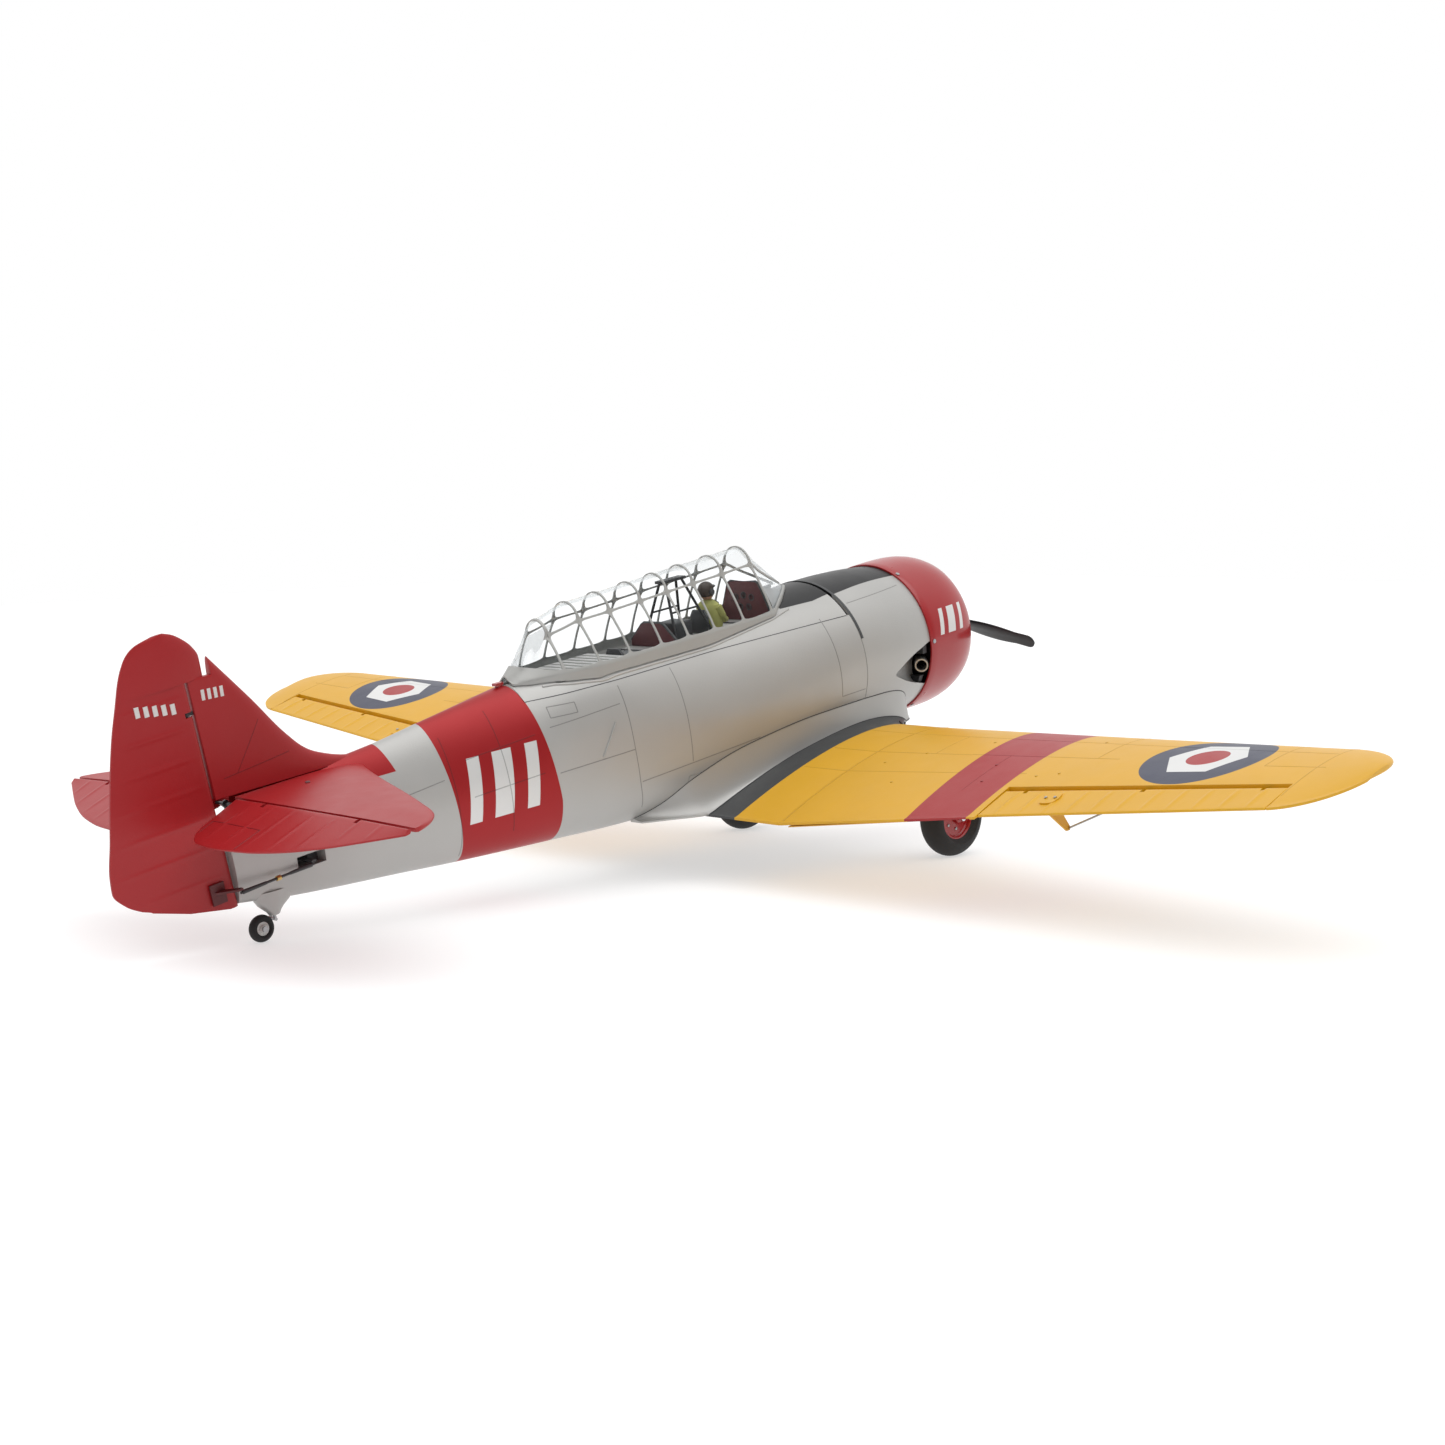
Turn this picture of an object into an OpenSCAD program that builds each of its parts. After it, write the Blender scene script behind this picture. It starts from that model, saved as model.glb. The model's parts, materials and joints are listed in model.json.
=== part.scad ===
// Radio-controlled foam aeroplane: a low-wing, tail-wheel trainer with a framed canopy.
// The aeroplane is drawn level: X forward, Y to its left, Z up from the thrust line, and
// stations s are measured aft from the propeller hub. stand() then sets it on its wheels.

/* [Wing] */
// Half of the wing span, before the tip is rounded
half_span = 744; // [738:2:750]
// Distance of the outer panel joint from the centre line
joint_y = 170; // [166:1:174]
// Thickness of the wing at the joint, as a share of its chord
wing_thick = 0.15; // [0.13:0.005:0.16]

/* [Fuselage] */
// Foam wall of the fuselage
wall = 6; // [5:0.5:7]
// Largest radius of the cowl ring
cowl_r = 82.5; // [82:0.5:84]
// Wall of the moulded nose cowl and cowl ring
cowl_wall = 2.4; // [1.5:0.1:3]

/* [Propeller and wheels] */
// Tip radius of the two-blade propeller
prop_r = 130; // [120:1:140]
// Radius of a main tyre
tyre_r = 41; // [39:0.5:42]
// Width of a main tyre
tyre_w = 28; // [24:1:28]
// Radius of the tail tyre
tail_tyre_r = 12; // [11:0.5:12.5]

/* [Hinges] */
// Radius of the steel hinge pins
pin_r = 1; // [0.8:0.1:1.2]
// Free gap round a moving surface
gap = 0.6; // [0.5:0.1:0.8]

/* [Hidden] */

SILVER = [0.72, 0.73, 0.74];
YELLOW = [0.95, 0.68, 0.08];
RED = [0.72, 0.08, 0.10];
BLACK = [0.10, 0.10, 0.11];
STEEL = [0.62, 0.63, 0.65];
MAROON = [0.35, 0.10, 0.10];

pin_fit = 0.05; // radial clearance of a pin in a surface that turns on it
rod_r = 0.9; // radius of the pushrods
arm_t = 1.8; // thickness of the servo arms and horns

// Wheel axles, as [station, out from the centre line, height]
main_axle = [204, 151, -163.5];
tail_axle = [934, 0, -80];
leg_top = [225, 131, -76]; // trunnion of the left main leg
leg_r = 4;

// The stance follows from the two axles and the two tyre radii
wheelbase = norm([tail_axle[0] - main_axle[0], main_axle[2] - tail_axle[2]]);
axle_slope = atan2(main_axle[2] - tail_axle[2], tail_axle[0] - main_axle[0]);
stand_pitch = asin((tyre_r - tail_tyre_r) / wheelbase) - axle_slope;
stand_h = tyre_r + main_axle[0] * sin(stand_pitch) - main_axle[2] * cos(stand_pitch);
stand_x = 520.25; // brings the middle of the length over the origin

module stand() {
    translate([stand_x, 0, stand_h]) rotate([0, -stand_pitch, 0]) children();
}

// Right-hand pieces are the left-hand ones seen in a mirror
module side(is_left) {
    if (is_left) children();
    else mirror([0, 1, 0]) children();
}

// Skin over a list of rings, each ring anticlockwise as seen from the last one. The rings of a
// band run out along one side and back along the other, and are closed by a strip at each end.
module loft(rings, band = false) {
    n = len(rings[0]);
    last = (len(rings) - 1) * n;
    points = [for (ring = rings) each ring];
    skin = [for (i = [0:len(rings) - 2], j = [0:n - 1])
        let (a = i * n + j, b = i * n + (j + 1) % n) each [[a, a + n, b + n], [a, b + n, b]]];
    strip = [for (j = [0:n / 2 - 2]) [j, j + 1, n - 2 - j, n - 1 - j]];
    first_cap = band ? strip : [[for (j = [0:n - 1]) j]];
    last_cap = [for (face = first_cap) [for (k = [len(face) - 1:-1:0]) last + face[k]]];
    polyhedron(points, concat(skin, first_cap, last_cap));
}

function mix(a, b, t) = a + (b - a) * t;

// ---------------------------------------------------------------- fuselage sections
// Each table gives one measure against the station
half_width = [[232, 84.5], [330, 79], [430, 71], [530, 61], [625, 50], [730, 35.5],
    [790, 29.5], [850, 23.5], [905, 17], [953, 10], [970, 9]];
top_z = [[232, 84.5], [330, 80], [430, 76], [530, 72], [625, 67], [730, 55.5], [790, 48],
    [850, 43.5], [905, 40], [953, 38], [970, 37]];
bottom_z = [[232, -84.5], [330, -95], [430, -99], [530, -95.5], [625, -88], [730, -79],
    [790, -72.5], [850, -66.5], [905, -60], [953, -52], [970, -50]];
widest_z = [[232, 0], [330, -12], [430, -18], [530, -22], [625, -25], [730, -22], [970, -12]];
upper_power = [[232, 2], [330, 1.9], [400, 1.85], [450, 2.05], [500, 2.4], [550, 2.8], [590, 2.8],
    [640, 2], [730, 1.75], [850, 1.9], [970, 2]];
lower_power = [[232, 2], [330, 2.3], [530, 2.5], [730, 2.4], [850, 2.2], [970, 2]];
body_stations = [232, 280, 330, 380, 430, 480, 530, 580, 625, 680, 730, 790, 850, 905, 953, 970];
ring_n = 32;

function signed_pow(v, e) = sign(v) * pow(abs(v), e);
function body_ring(s, inset) = [for (j = [0:ring_n - 1])
    let (a = 360 * j / ring_n, e = 2 / lookup(s, sin(a) > 0 ? upper_power : lower_power),
        mid = lookup(s, widest_z),
        reach = sin(a) > 0 ? lookup(s, top_z) - inset - mid : mid - lookup(s, bottom_z) - inset)
    [-s, -(lookup(s, half_width) - inset) * signed_pow(cos(a), e),
        mid + reach * signed_pow(sin(a), e)]];

module body_solid(inset = 0, from = 232, to = 970) {
    loft([for (s = body_stations) if (s >= from && s <= to) body_ring(s, inset)]);
}

// A block between two stations, two widths and two heights
module block(s, y, z) {
    translate([-s[1], y[0], z[0]]) cube([s[1] - s[0], y[1] - y[0], z[1] - z[0]]);
}

hatch_s = [235, 636]; // stations of the lift-off hatch
hatch_z = 51; // height of the hatch parting line
saddle_s = [150, 476]; // stations of the wing saddle
saddle_z = -58; // top of the wing saddle
tail_shell_s = 850; // the foam is solid aft of this station

// ---------------------------------------------------------------- hinge frames
rudder_foot = [959, -53]; // station and height of the foot of the rudder axis
rudder_lean = 3.54; // the axis leans aft going up
rudder_nose = 5.5;
elevator_axis = [946.5, 34];
elevator_droop = 13; // the elevator rests with its trailing edge this far down
aileron_in = [414.2, 402, -67.5];
aileron_out = [414.2, 690, -38];
flap_in = [409, 179, -98.2];
flap_out = [409, 396, -73];

function hinge_tilt(a, b) = atan2(b[2] - a[2], b[1] - a[1]);
function hinge_len(a, b) = norm([b[1] - a[1], b[2] - a[2]]);
function axis_s(z) = rudder_foot[0] + (z - rudder_foot[1]) * tan(rudder_lean);

aileron_len = hinge_len(aileron_in, aileron_out);
flap_len = hinge_len(flap_in, flap_out);

module at(p) { translate([-p[0], p[1], p[2]]) children(); }
module aileron_frame() { at(aileron_in) rotate([hinge_tilt(aileron_in, aileron_out), 0, 0]) children(); }
module flap_frame() { at(flap_in) rotate([hinge_tilt(flap_in, flap_out), 0, 0]) children(); }
module elevator_hinge() { translate([-elevator_axis[0], 0, elevator_axis[1]]) children(); }
module elevator_frame() { elevator_hinge() rotate([0, -elevator_droop, 0]) children(); }
module rudder_frame() {
    translate([-rudder_foot[0], 0, rudder_foot[1]]) rotate([0, -rudder_lean, 0]) children();
}
module along_y(r, from, to) {
    translate([0, from, 0]) rotate([-90, 0, 0]) cylinder(h = to - from, r = r, $fn = 32);
}

// Section of a moving surface in its hinge frame: round nose, thin trailing edge
nose_steps = 8;
function wedge(y, nose, te_x, te_z, te_r) = concat(
    [[te_x, y, te_z + te_r]],
    [for (k = [0:nose_steps]) let (a = 100 - 200 * k / nose_steps) [nose * cos(a), y, nose * sin(a)]],
    [[te_x, y, te_z - te_r]]);

// Room for a hinge lug in a surface, and the bore for its pin
module lug_room(at_y, width, reach) {
    translate([-3.6, at_y - width / 2, -12]) cube([reach, width, 24]);
}
module lug(at_y, eye_r, reach, foot) {
    width = 3;
    along_y(eye_r, at_y - width / 2, at_y + width / 2);
    translate([0, at_y - width / 2, -foot / 2]) cube([reach, width, foot]);
}

// ---------------------------------------------------------------- wing sections
function naca(x) = 5 * (0.2969 * sqrt(x) - 0.126 * x - 0.3516 * x * x + 0.2843 * pow(x, 3)
    - 0.1015 * pow(x, 4));
chord_up = [1, 0.8, 0.6, 0.4, 0.25, 0.13, 0.05, 0.012, 0];
chord_down = [0.012, 0.05, 0.13, 0.25, 0.4, 0.6, 0.8, 1];
// le and te are [station, height] of the leading and trailing edges
function foil_ring(y, le, te, thick, edge = 1.1) = let (c = te[0] - le[0])
    concat([for (x = chord_up) [-mix(le[0], te[0], x), y,
            mix(le[1], te[1], x) + 0.08 * c * x * (1 - x) + max(thick * c * naca(x), edge * x)]],
        [for (x = chord_down) [-mix(le[0], te[0], x), y,
            mix(le[1], te[1], x) + 0.08 * c * x * (1 - x) - max(thick * c * naca(x), edge * x)]]);

// Edges of the outer panel at the joint and where the tip rounding starts
root_le = [200, -79];
root_te = [470, -98];
tip_y = 690;
tip_le = [300, -34.4];
tip_te = [449, -42];
function tip_round(y) = y <= tip_y ? 0 : 1 - sqrt(max(0, 1 - pow((y - tip_y) / (half_span - tip_y), 2)));
function panel_ring(y) = let (t = (y - 170) / (tip_y - 170), r = tip_round(y),
        le = mix(root_le, tip_le, t), te = mix(root_te, tip_te, t))
    foil_ring(y, le + [48 * r, 2 * r], te - [72 * r, -6 * r], mix(wing_thick, 0.118, min(t, 1)));
panel_spread = [0, 0.4, 0.7, 0.906, 0.937, 0.962, 0.981, 0.993, 1]; // shares of the panel's span

module panel_solid() {
    loft([for (k = panel_spread) panel_ring(mix(joint_y + 0.3, half_span - 1, k))]);
}
spar_s = 285;
spar_z = -80;
spar_tilt = 4.9;
tube_r = 5;
module spar(r, from, to) {
    at([spar_s, joint_y, spar_z]) rotate([spar_tilt, 0, 0]) along_y(r, from, to);
}

module wing_panel(is_left) {
    color(YELLOW) stand() side(is_left) difference() {
        panel_solid();
        // Aileron bay
        aileron_frame() translate([-90, -gap, -30]) cube([90 + 6.6 + gap, aileron_len + 2 * gap, 60]);
        // Flap bay, sloping up to a thin skin at the trailing edge
        flap_frame() translate([0, flap_len + gap, 0]) rotate([90, 0, 0])
            linear_extrude(flap_len + 2 * gap)
                polygon([[2.4, 2.2], [-48, -0.8], [-70, -1.2], [-70, -30], [2.4, -30]]);
        // Aileron servo bay, open below
        aileron_frame() translate([55, 38, -30]) cube([25, 30, 36]);
        spar(tube_r + 0.1, -4, 300);
    }
}

well_y = leg_top[1] - (leg_top[2] - main_axle[2]); // centre of the retracted wheel
well_r = tyre_r + 3;
center_le = [[0, 156], [62, 158], [100, 199.5], [174, 200]];
center_ys = [-170, -135, -100, -80, -62, 0, 62, 80, 100, 135, 170];
function center_ring(y) = let (k = joint_y / 170)
    foil_ring(y * k, [lookup(abs(y), center_le), root_le[1]], root_te,
        wing_thick * 270 / (470 - lookup(abs(y), center_le)));

// Fillet between the fuselage side and the wing
fillet_seam_y = [[150, 60], [200, 78], [300, 76], [400, 70], [470, 58], [505, 40]];
fillet_seam_z = [[150, -52], [200, -38], [300, -36], [400, -44], [470, -62], [505, -80]];
fillet_foot_z = [[150, -74], [200, -66], [300, -60], [400, -74], [470, -96], [505, -97]];
fillet_foot_y = [[150, 66], [200, 76], [470, 76], [505, 42]];
module fillet() {
    loft([for (s = [168, 200, 250, 300, 350, 400, 440, 470, 503])
        [[-s, lookup(s, fillet_foot_y) - 30, lookup(s, fillet_foot_z) - 3],
            [-s, lookup(s, fillet_seam_y) - 25, lookup(s, fillet_seam_z) - 2],
            [-s, lookup(s, fillet_seam_y), lookup(s, fillet_seam_z)],
            [-s, lookup(s, fillet_foot_y), lookup(s, fillet_foot_z)]]]);
}
module wheel_well() {
    for (shift = [0, 9]) {
        translate([-main_axle[0], well_y + shift, -140]) cylinder(h = 66, r = well_r, $fn = 48);
    }
    // Slot for the leg and room for the retract unit
    block([main_axle[0] - 10, 238], [60, leg_top[1] + 3], [-140, -69]);
    block([212, 240], [leg_top[1] - 14, leg_top[1] + 14], [-140, -67]);
}
module wing_center() {
    color(YELLOW) stand() difference() {
        union() {
            loft([for (y = center_ys) center_ring(y)]);
            for (left = [true, false]) side(left) fillet();
            intersection() {
                body_solid(0.2, 232, 530);
                block([233, saddle_s[1] - 0.5], [-90, 90], [-110, saddle_z - 0.3]);
            }
            intersection() {
                nose_outer(0.2);
                block([saddle_s[0] + 0.5, 233.5], [-90, 90], [-110, saddle_z - 0.3]);
            }
        }
        intersection() {
            body_solid(-0.1, 232, 530);
            block([200, saddle_s[1] + 0.3], [-90, 90], [saddle_z - 0.2, 10]);
        }
        intersection() {
            nose_outer(-0.1);
            block([100, 240], [-90, 90], [saddle_z - 0.2, 10]);
        }
        body_aft_of_saddle();
        for (left = [true, false]) side(left) {
            wheel_well();
            spar(tube_r + 0.1, -60, 20);
            wing_bolt(2.1, 4.2, 1);
        }
    }
}
module body_aft_of_saddle() {
    intersection() {
        body_solid(-0.1, 430, 680);
        block([saddle_s[1] - 0.2, 560], [-90, 90], [-120, 10]);
    }
}

// ---------------------------------------------------------------- nose
ring_s = [46, 126]; // front and back of the cowl ring
nose_s = [126, 232]; // front and back of the nose cowl
nose_front_r = 80;
module turned(profile) {
    rotate([0, -90, 0]) rotate_extrude($fn = 96) polygon(profile);
}
module nose_outer(inset = 0) {
    turned([[0, nose_s[0]], [nose_front_r - inset, nose_s[0]], [84.5 - inset, 200],
        [84.5 - inset, 234], [0, 234]]);
}
module cowl_ring() {
    t = cowl_wall;
    color(RED) stand() turned([[cowl_r - 20, ring_s[0] + 8], [cowl_r - 18.5, ring_s[0] + 3],
        [cowl_r - 15, ring_s[0]], [cowl_r - 10, ring_s[0] + 3], [cowl_r - 5, ring_s[0] + 13],
        [cowl_r - 1.5, ring_s[0] + 28], [cowl_r, ring_s[0] + 46], [cowl_r, ring_s[0] + 62],
        [cowl_r - 0.5, ring_s[1]], [cowl_r - 0.5 - t, ring_s[1]], [cowl_r - t, ring_s[0] + 46],
        [cowl_r - t - 1.5, ring_s[0] + 28], [cowl_r - t - 5, ring_s[0] + 14],
        [cowl_r - 15, ring_s[0] + t + 2], [cowl_r - 18.5, ring_s[0] + 8]]);
}
exhaust_at = [138, -75, -23]; // open end of the exhaust
module exhaust_line(r, len) {
    at(exhaust_at) rotate([0, 0, 42]) rotate([0, 90, 0]) cylinder(h = len, r = r, $fn = 32);
}
module nose_cowl() {
    color(SILVER) stand() difference() {
        turned([[nose_front_r, nose_s[0]], [84.5, 200], [84.5, nose_s[1]],
            [84.5 - cowl_wall, nose_s[1]], [84.5 - cowl_wall, 200],
            [nose_front_r - cowl_wall, nose_s[0]]]);
        block([saddle_s[0], 240], [-100, 100], [-120, saddle_z]);
        block([120, 180], [-100, -60], [exhaust_at[2] - 11, exhaust_at[2] + 11]);
    }
}
firewall_s = [130, 136];
module exhaust_pipe() {
    color(STEEL) stand() difference() {
        exhaust_line(7, 42);
        translate([-0.02, 0, 0]) exhaust_line(5.6, 36);
        block([100, firewall_s[0] - 22], [-100, 0], [-60, 20]);
    }
}
module motor_mount() {
    color([0.75, 0.6, 0.4]) stand() {
        difference() {
            translate([-firewall_s[1], 0, 0]) rotate([0, 90, 0]) cylinder(h = 6, r = 77.6, $fn = 96);
            translate([-firewall_s[1] - 1, 0, 0]) rotate([0, 90, 0]) cylinder(h = 8, r = 9, $fn = 32);
            for (a = [45:90:315]) rotate([a, 0, 0]) translate([-firewall_s[1] - 1, 0, 48])
                rotate([0, 90, 0]) cylinder(h = 8, r = 14, $fn = 48);
            exhaust_line(8, 60);
            block([120, 140], [-100, -50], [exhaust_at[2] - 12, exhaust_at[2] + 12]);
        }
        // Battery tray, set into the firewall
        block([firewall_s[1], 430], [-26, 26], [-40, -37]);
        // Four posts from the firewall to the motor
        for (a = [45:90:315]) rotate([a, 0, 0])
            translate([-firewall_s[0], 0, 16]) rotate([0, 90, 0]) cylinder(h = 42, r = 3, $fn = 32);
    }
}
motor_s = [46, 88]; // front of the bell and back of the stator plate
shaft_r = 2.5;
module x_cylinder(s, r, fn = 48) {
    translate([-s[1], 0, 0]) rotate([0, 90, 0]) cylinder(h = s[1] - s[0], r = r, $fn = fn);
}
module motor_stator() {
    color(STEEL) stand() difference() {
        union() {
            x_cylinder([83, motor_s[1]], 21);
            x_cylinder([54, 84], 5.5);
            x_cylinder([58, 78], 15);
        }
        x_cylinder([40, 100], shaft_r + pin_fit);
    }
}
module motor_bell() {
    color(BLACK) stand() {
        difference() {
            x_cylinder([motor_s[0], 81], 20);
            x_cylinder([motor_s[0] + 4, 100], 17.5);
        }
        x_cylinder([2, motor_s[1]], shaft_r);
        x_cylinder([18, motor_s[0] + 1], 4);
    }
}
engine_s = 62;
module dummy_engine() {
    color([0.25, 0.25, 0.27]) stand() {
        difference() {
            union() {
                x_cylinder([engine_s - 10, firewall_s[0]], 33, 72);
                x_cylinder([engine_s - 16, engine_s - 9], 28, 72);
            }
            x_cylinder([30, 150], 23, 72);
            x_cylinder([engine_s + 14, 150], 30, 72);
        }
        for (k = [0:8]) rotate([k * 40, 0, 0]) engine_cylinder();
    }
}
module engine_cylinder() {
    translate([-engine_s - 2, 0, 33.2]) rotate_extrude($fn = 48)
        polygon(concat([[0, 0], [8, 0]],
            [for (k = [0:6]) each [[8, 3 + k * 3.6], [12.5, 3 + k * 3.6], [12.5, 4.6 + k * 3.6], [8, 4.6 + k * 3.6]]],
            [[8, 28], [9, 30], [7, 35.6], [0, 35.6]]));
}
blade_tilt = 10.6; // the propeller's rest angle from the horizontal
prop_s = [6, 18];
function blade_ring(r) = let (t = r / prop_r, w = 9 + 15 * sin(min(1, t * 1.25) * 150) * (1 - 0.25 * t),
        chord = t > 0.98 ? 6 : w, a = 62 - 48 * pow(t, 0.6), th = mix(3.2, 0.6, t))
    [for (p = [[-1, 0], [-0.4, -0.6], [0.4, -0.8], [1, 0], [0.4, 1], [-0.4, 0.8]])
        let (u = p[0] * chord / 2, v = p[1] * th)
        [-12 + u * sin(a) + v * cos(a), r, u * cos(a) - v * sin(a)]];
module propeller() {
    color(BLACK) stand() rotate([blade_tilt, 0, 0]) difference() {
        union() {
            x_cylinder(prop_s, 10);
            for (turn = [0, 180]) rotate([turn, 0, 0])
                loft([for (t = [0.04, 0.14, 0.28, 0.42, 0.56, 0.7, 0.82, 0.92, 1]) blade_ring(t * prop_r)]);
        }
        x_cylinder([-5, 30], shaft_r + pin_fit);
    }
}
module prop_nut() {
    color(STEEL) stand() difference() {
        union() {
            x_cylinder([3.5, 6], 8);
            x_cylinder([-4, 4], 5.5, 6);
            translate([4, 0, 0]) rotate([0, 90, 0]) cylinder(h = 8, r1 = 4, r2 = 1.5, $fn = 32);
        }
        x_cylinder([2, 10], shaft_r + pin_fit);
    }
}

// ---------------------------------------------------------------- fuselage and what it holds
module tail_cut() {
    rudder_frame() translate([-150, -40, -30]) cube([150 + rudder_nose + gap, 80, 240]);
}
module fuselage() {
    color(SILVER) stand() difference() {
        body_solid();
        body_solid(wall, 232, tail_shell_s);
        translate([1, 0, 0]) body_solid(wall, 232, 280);
        block([200, hatch_s[1] + 0.6], [-90, 90], [hatch_z - 0.4, 120]);
        block([200, saddle_s[1]], [-90, 90], [-130, saddle_z]);
        tail_cut();
        // Channel of the elevator linkage, and windows for the two tail servos
        block([845, 975], [-6.5, 6.5], [8, 60]);
        rudder_plane() translate([-servo_reach, rudder_servo[1], 0]) {
            translate([4.5, -30, -6.3]) cube([20.6, 31, 12.6]);
            translate([-16, -40, -4.4]) cube([31, 44.6, 11.4]);
        }
        block([840, 866], [-7, 13], [10, 60]);
        translate([-919, 0, -80]) cylinder(h = 45, r = 3.5, $fn = 32);
        block([637.4, 652], [-3.4, 3.4], [61, 80]);
        block([800, 990], [-9, 9], [47, 80]);
        stabilizer_bore();
    }
}
stab_tube_s = 872;
module stabilizer_bore(r = 3.1) {
    translate([-stab_tube_s, 0, elevator_axis[1]]) along_y(r, -90, 90);
}
module battery() {
    color([0.15, 0.25, 0.5]) stand() block([190, 300], [-21, 21], [-37, -8]);
}
module speed_controller() {
    color([0.1, 0.1, 0.12]) stand() block([150, 184], [-14, 14], [-37, -26]);
}
module receiver() {
    color([0.2, 0.2, 0.22]) stand() block([340, 384], [-12, 12], [-37, -22]);
}
module spar_tubes() {
    color(BLACK) stand() {
        for (left = [true, false]) side(left) spar(tube_r, -56, 294);
        difference() {
            translate([-stab_tube_s, 0, elevator_axis[1]]) along_y(3, -88, 88);
            translate([-stab_tube_s, 0, elevator_axis[1]]) along_y(2.2, -90, 90);
        }
    }
}

// ---------------------------------------------------------------- tail
fin_le = [[40, 800], [49, 833], [60, 858], [77, 876], [116, 906], [162, 943]];
fin_top = 162;
fin_notch = 145; // the rudder balance passes over the fin above this height
function fin_ring(z) = let (le = lookup(z, fin_le), te = axis_s(z) - rudder_nose - gap,
        half = mix(6, 3.2, (z - 40) / 122), front = 2)
    [[-le, 0, z], [-le - front, half * 0.4, z], [-mix(le, te, 0.35), half, z], [-te, half * 0.85, z],
        [-te, -half * 0.85, z], [-mix(le, te, 0.35), -half, z], [-le - front, -half * 0.4, z]];
module fin_solid() {
    difference() {
        loft([for (z = [38, 49, 60, 77, 96, 116, fin_notch - 1, fin_top - 1.5]) fin_ring(z)]);
        block([942, 990], [-20, 20], [fin_notch, 190]);
    }
}
module fin() {
    color(RED) stand() difference() {
        fin_solid();
        body_solid(-0.1, 730, 970);
        block([845, 975], [-6.5, 6.5], [8, 45]);
    }
}
// Tailplane: [half span, leading edge station, thickness]
stab_le = [[0, 808], [27, 819], [190, 884], [227, 901], [245, 916], [256, 940]];
stab_t = [[0, 13], [27, 12], [190, 8], [256, 4]];
stab_te_s = 946.5 - 5.2 - gap;
function stab_ring(y) = let (le = min(lookup(y, stab_le), stab_te_s - 4), h = lookup(y, stab_t) / 2)
    [[-stab_te_s, y, elevator_axis[1] + h * 0.8], [-mix(le, stab_te_s, 0.4), y, elevator_axis[1] + h],
        [-le - 2, y, elevator_axis[1] + h * 0.5], [-le, y, elevator_axis[1]],
        [-le - 2, y, elevator_axis[1] - h * 0.5], [-mix(le, stab_te_s, 0.4), y, elevator_axis[1] - h],
        [-stab_te_s, y, elevator_axis[1] - h * 0.8]];
module stabilizer(is_left) {
    color(RED) stand() difference() {
        side(is_left) loft([for (y = [6.8, 60, 120, 190, 227, 245, 255]) stab_ring(y)]);
        body_solid(-0.1, 730, 970);
        fin_solid();
        stabilizer_bore();
        // Room beside the elevator servo
        block([846, 863], [0, 12.8], [10, 42]);
    }
}
elevator_te = [[14, 30], [40, 61], [110, 62], [150, 53], [190, 37], [225, 20], [245, 9], [254, 5]];
elevator_nose = [[14, 5.2], [110, 4.6], [190, 3.6], [254, 2.2]];
module elevator_solid() {
    loft([for (y = [16, 40, 110, 150, 190, 225, 245, 254])
        wedge(y, lookup(y, elevator_nose), -lookup(y, elevator_te), -1, 0.7)]);
}
elevator_lugs = [60, 190];
module elevator(is_left) {
    color(RED) stand() side(is_left) elevator_frame() difference() {
        elevator_solid();
        for (y = elevator_lugs) lug_room(y, 4.4, 15);
        along_y(pin_r + pin_fit, 40, 212);
        along_y(1.5, 10, 36);
    }
}
module elevator_joiner() {
    color(STEEL) stand() elevator_frame() {
        along_y(1.5, -35, 35);
        difference() {
            union() {
                along_y(3.4, 1, 1 + arm_t);
                translate([-2.2, 1, -16]) cube([4.4, arm_t, 14]);
            }
            translate([0, 0, -elevator_arm_len]) along_y(rod_r + 0.1, 0, 4);
        }
    }
}
elevator_servo_s = 854; // station of the elevator servo's shaft
elevator_arm_len = 14;
module elevator_arm() {
    color([0.9, 0.9, 0.88]) stand() at([elevator_servo_s, 0, elevator_axis[1]])
        rotate([0, -elevator_droop, 0]) {
        along_y(3.4, 1, 1 + arm_t);
        difference() {
            translate([-2.2, 1, -16]) cube([4.4, arm_t, 14]);
            translate([0, 0, -elevator_arm_len]) along_y(rod_r + 0.1, 0, 4);
        }
    }
}
module elevator_pushrod() {
    drop = elevator_arm_len * cos(elevator_droop);
    ahead = elevator_arm_len * sin(elevator_droop);
    color(STEEL) stand() {
        translate([-elevator_axis[0] + ahead, -1, elevator_axis[1] - drop]) rotate([0, 90, 0])
            cylinder(h = elevator_axis[0] - elevator_servo_s, r = rod_r, $fn = 24);
        translate([-elevator_servo_s + ahead, 0, elevator_axis[1] - drop]) along_y(rod_r, -1.4, 3.2);
    }
}

// Rudder in its own frame: height along the axis, reach aft of it
rudder_te = [[0, 71], [20, 72], [32, 91], [48, 103.5], [60, 102.5], [123, 86], [170, 71.5], [197, 61]];
rudder_floor = -1;
rudder_neck = 196.5; // foot of the balance, above the hinge
function rudder_ring(h, nose) = [for (p = wedge(h, nose, -lookup(h, rudder_te), 0, 0.9)) [p[0], -p[2], p[1]]];
balance = [[196.5, 23, 61], [214, 23.4, 54], [224, 19, 48.5], [233, 10.5, 42], [238, 3.5, 35], [241.5, -5, 15]];
function balance_ring(row) = let (h = row[0], half = mix(4.6, 1.5, (h - 196.5) / 45))
    [[row[1], 0, h], [row[1] - 4, half * 0.6, h], [0, half, h], [-row[2] + 6, 1.2, h], [-row[2], 0.8, h],
        [-row[2], -0.8, h], [-row[2] + 6, -1.2, h], [0, -half, h], [row[1] - 4, -half * 0.6, h]];
rudder_lugs = [60, 170];
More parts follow.
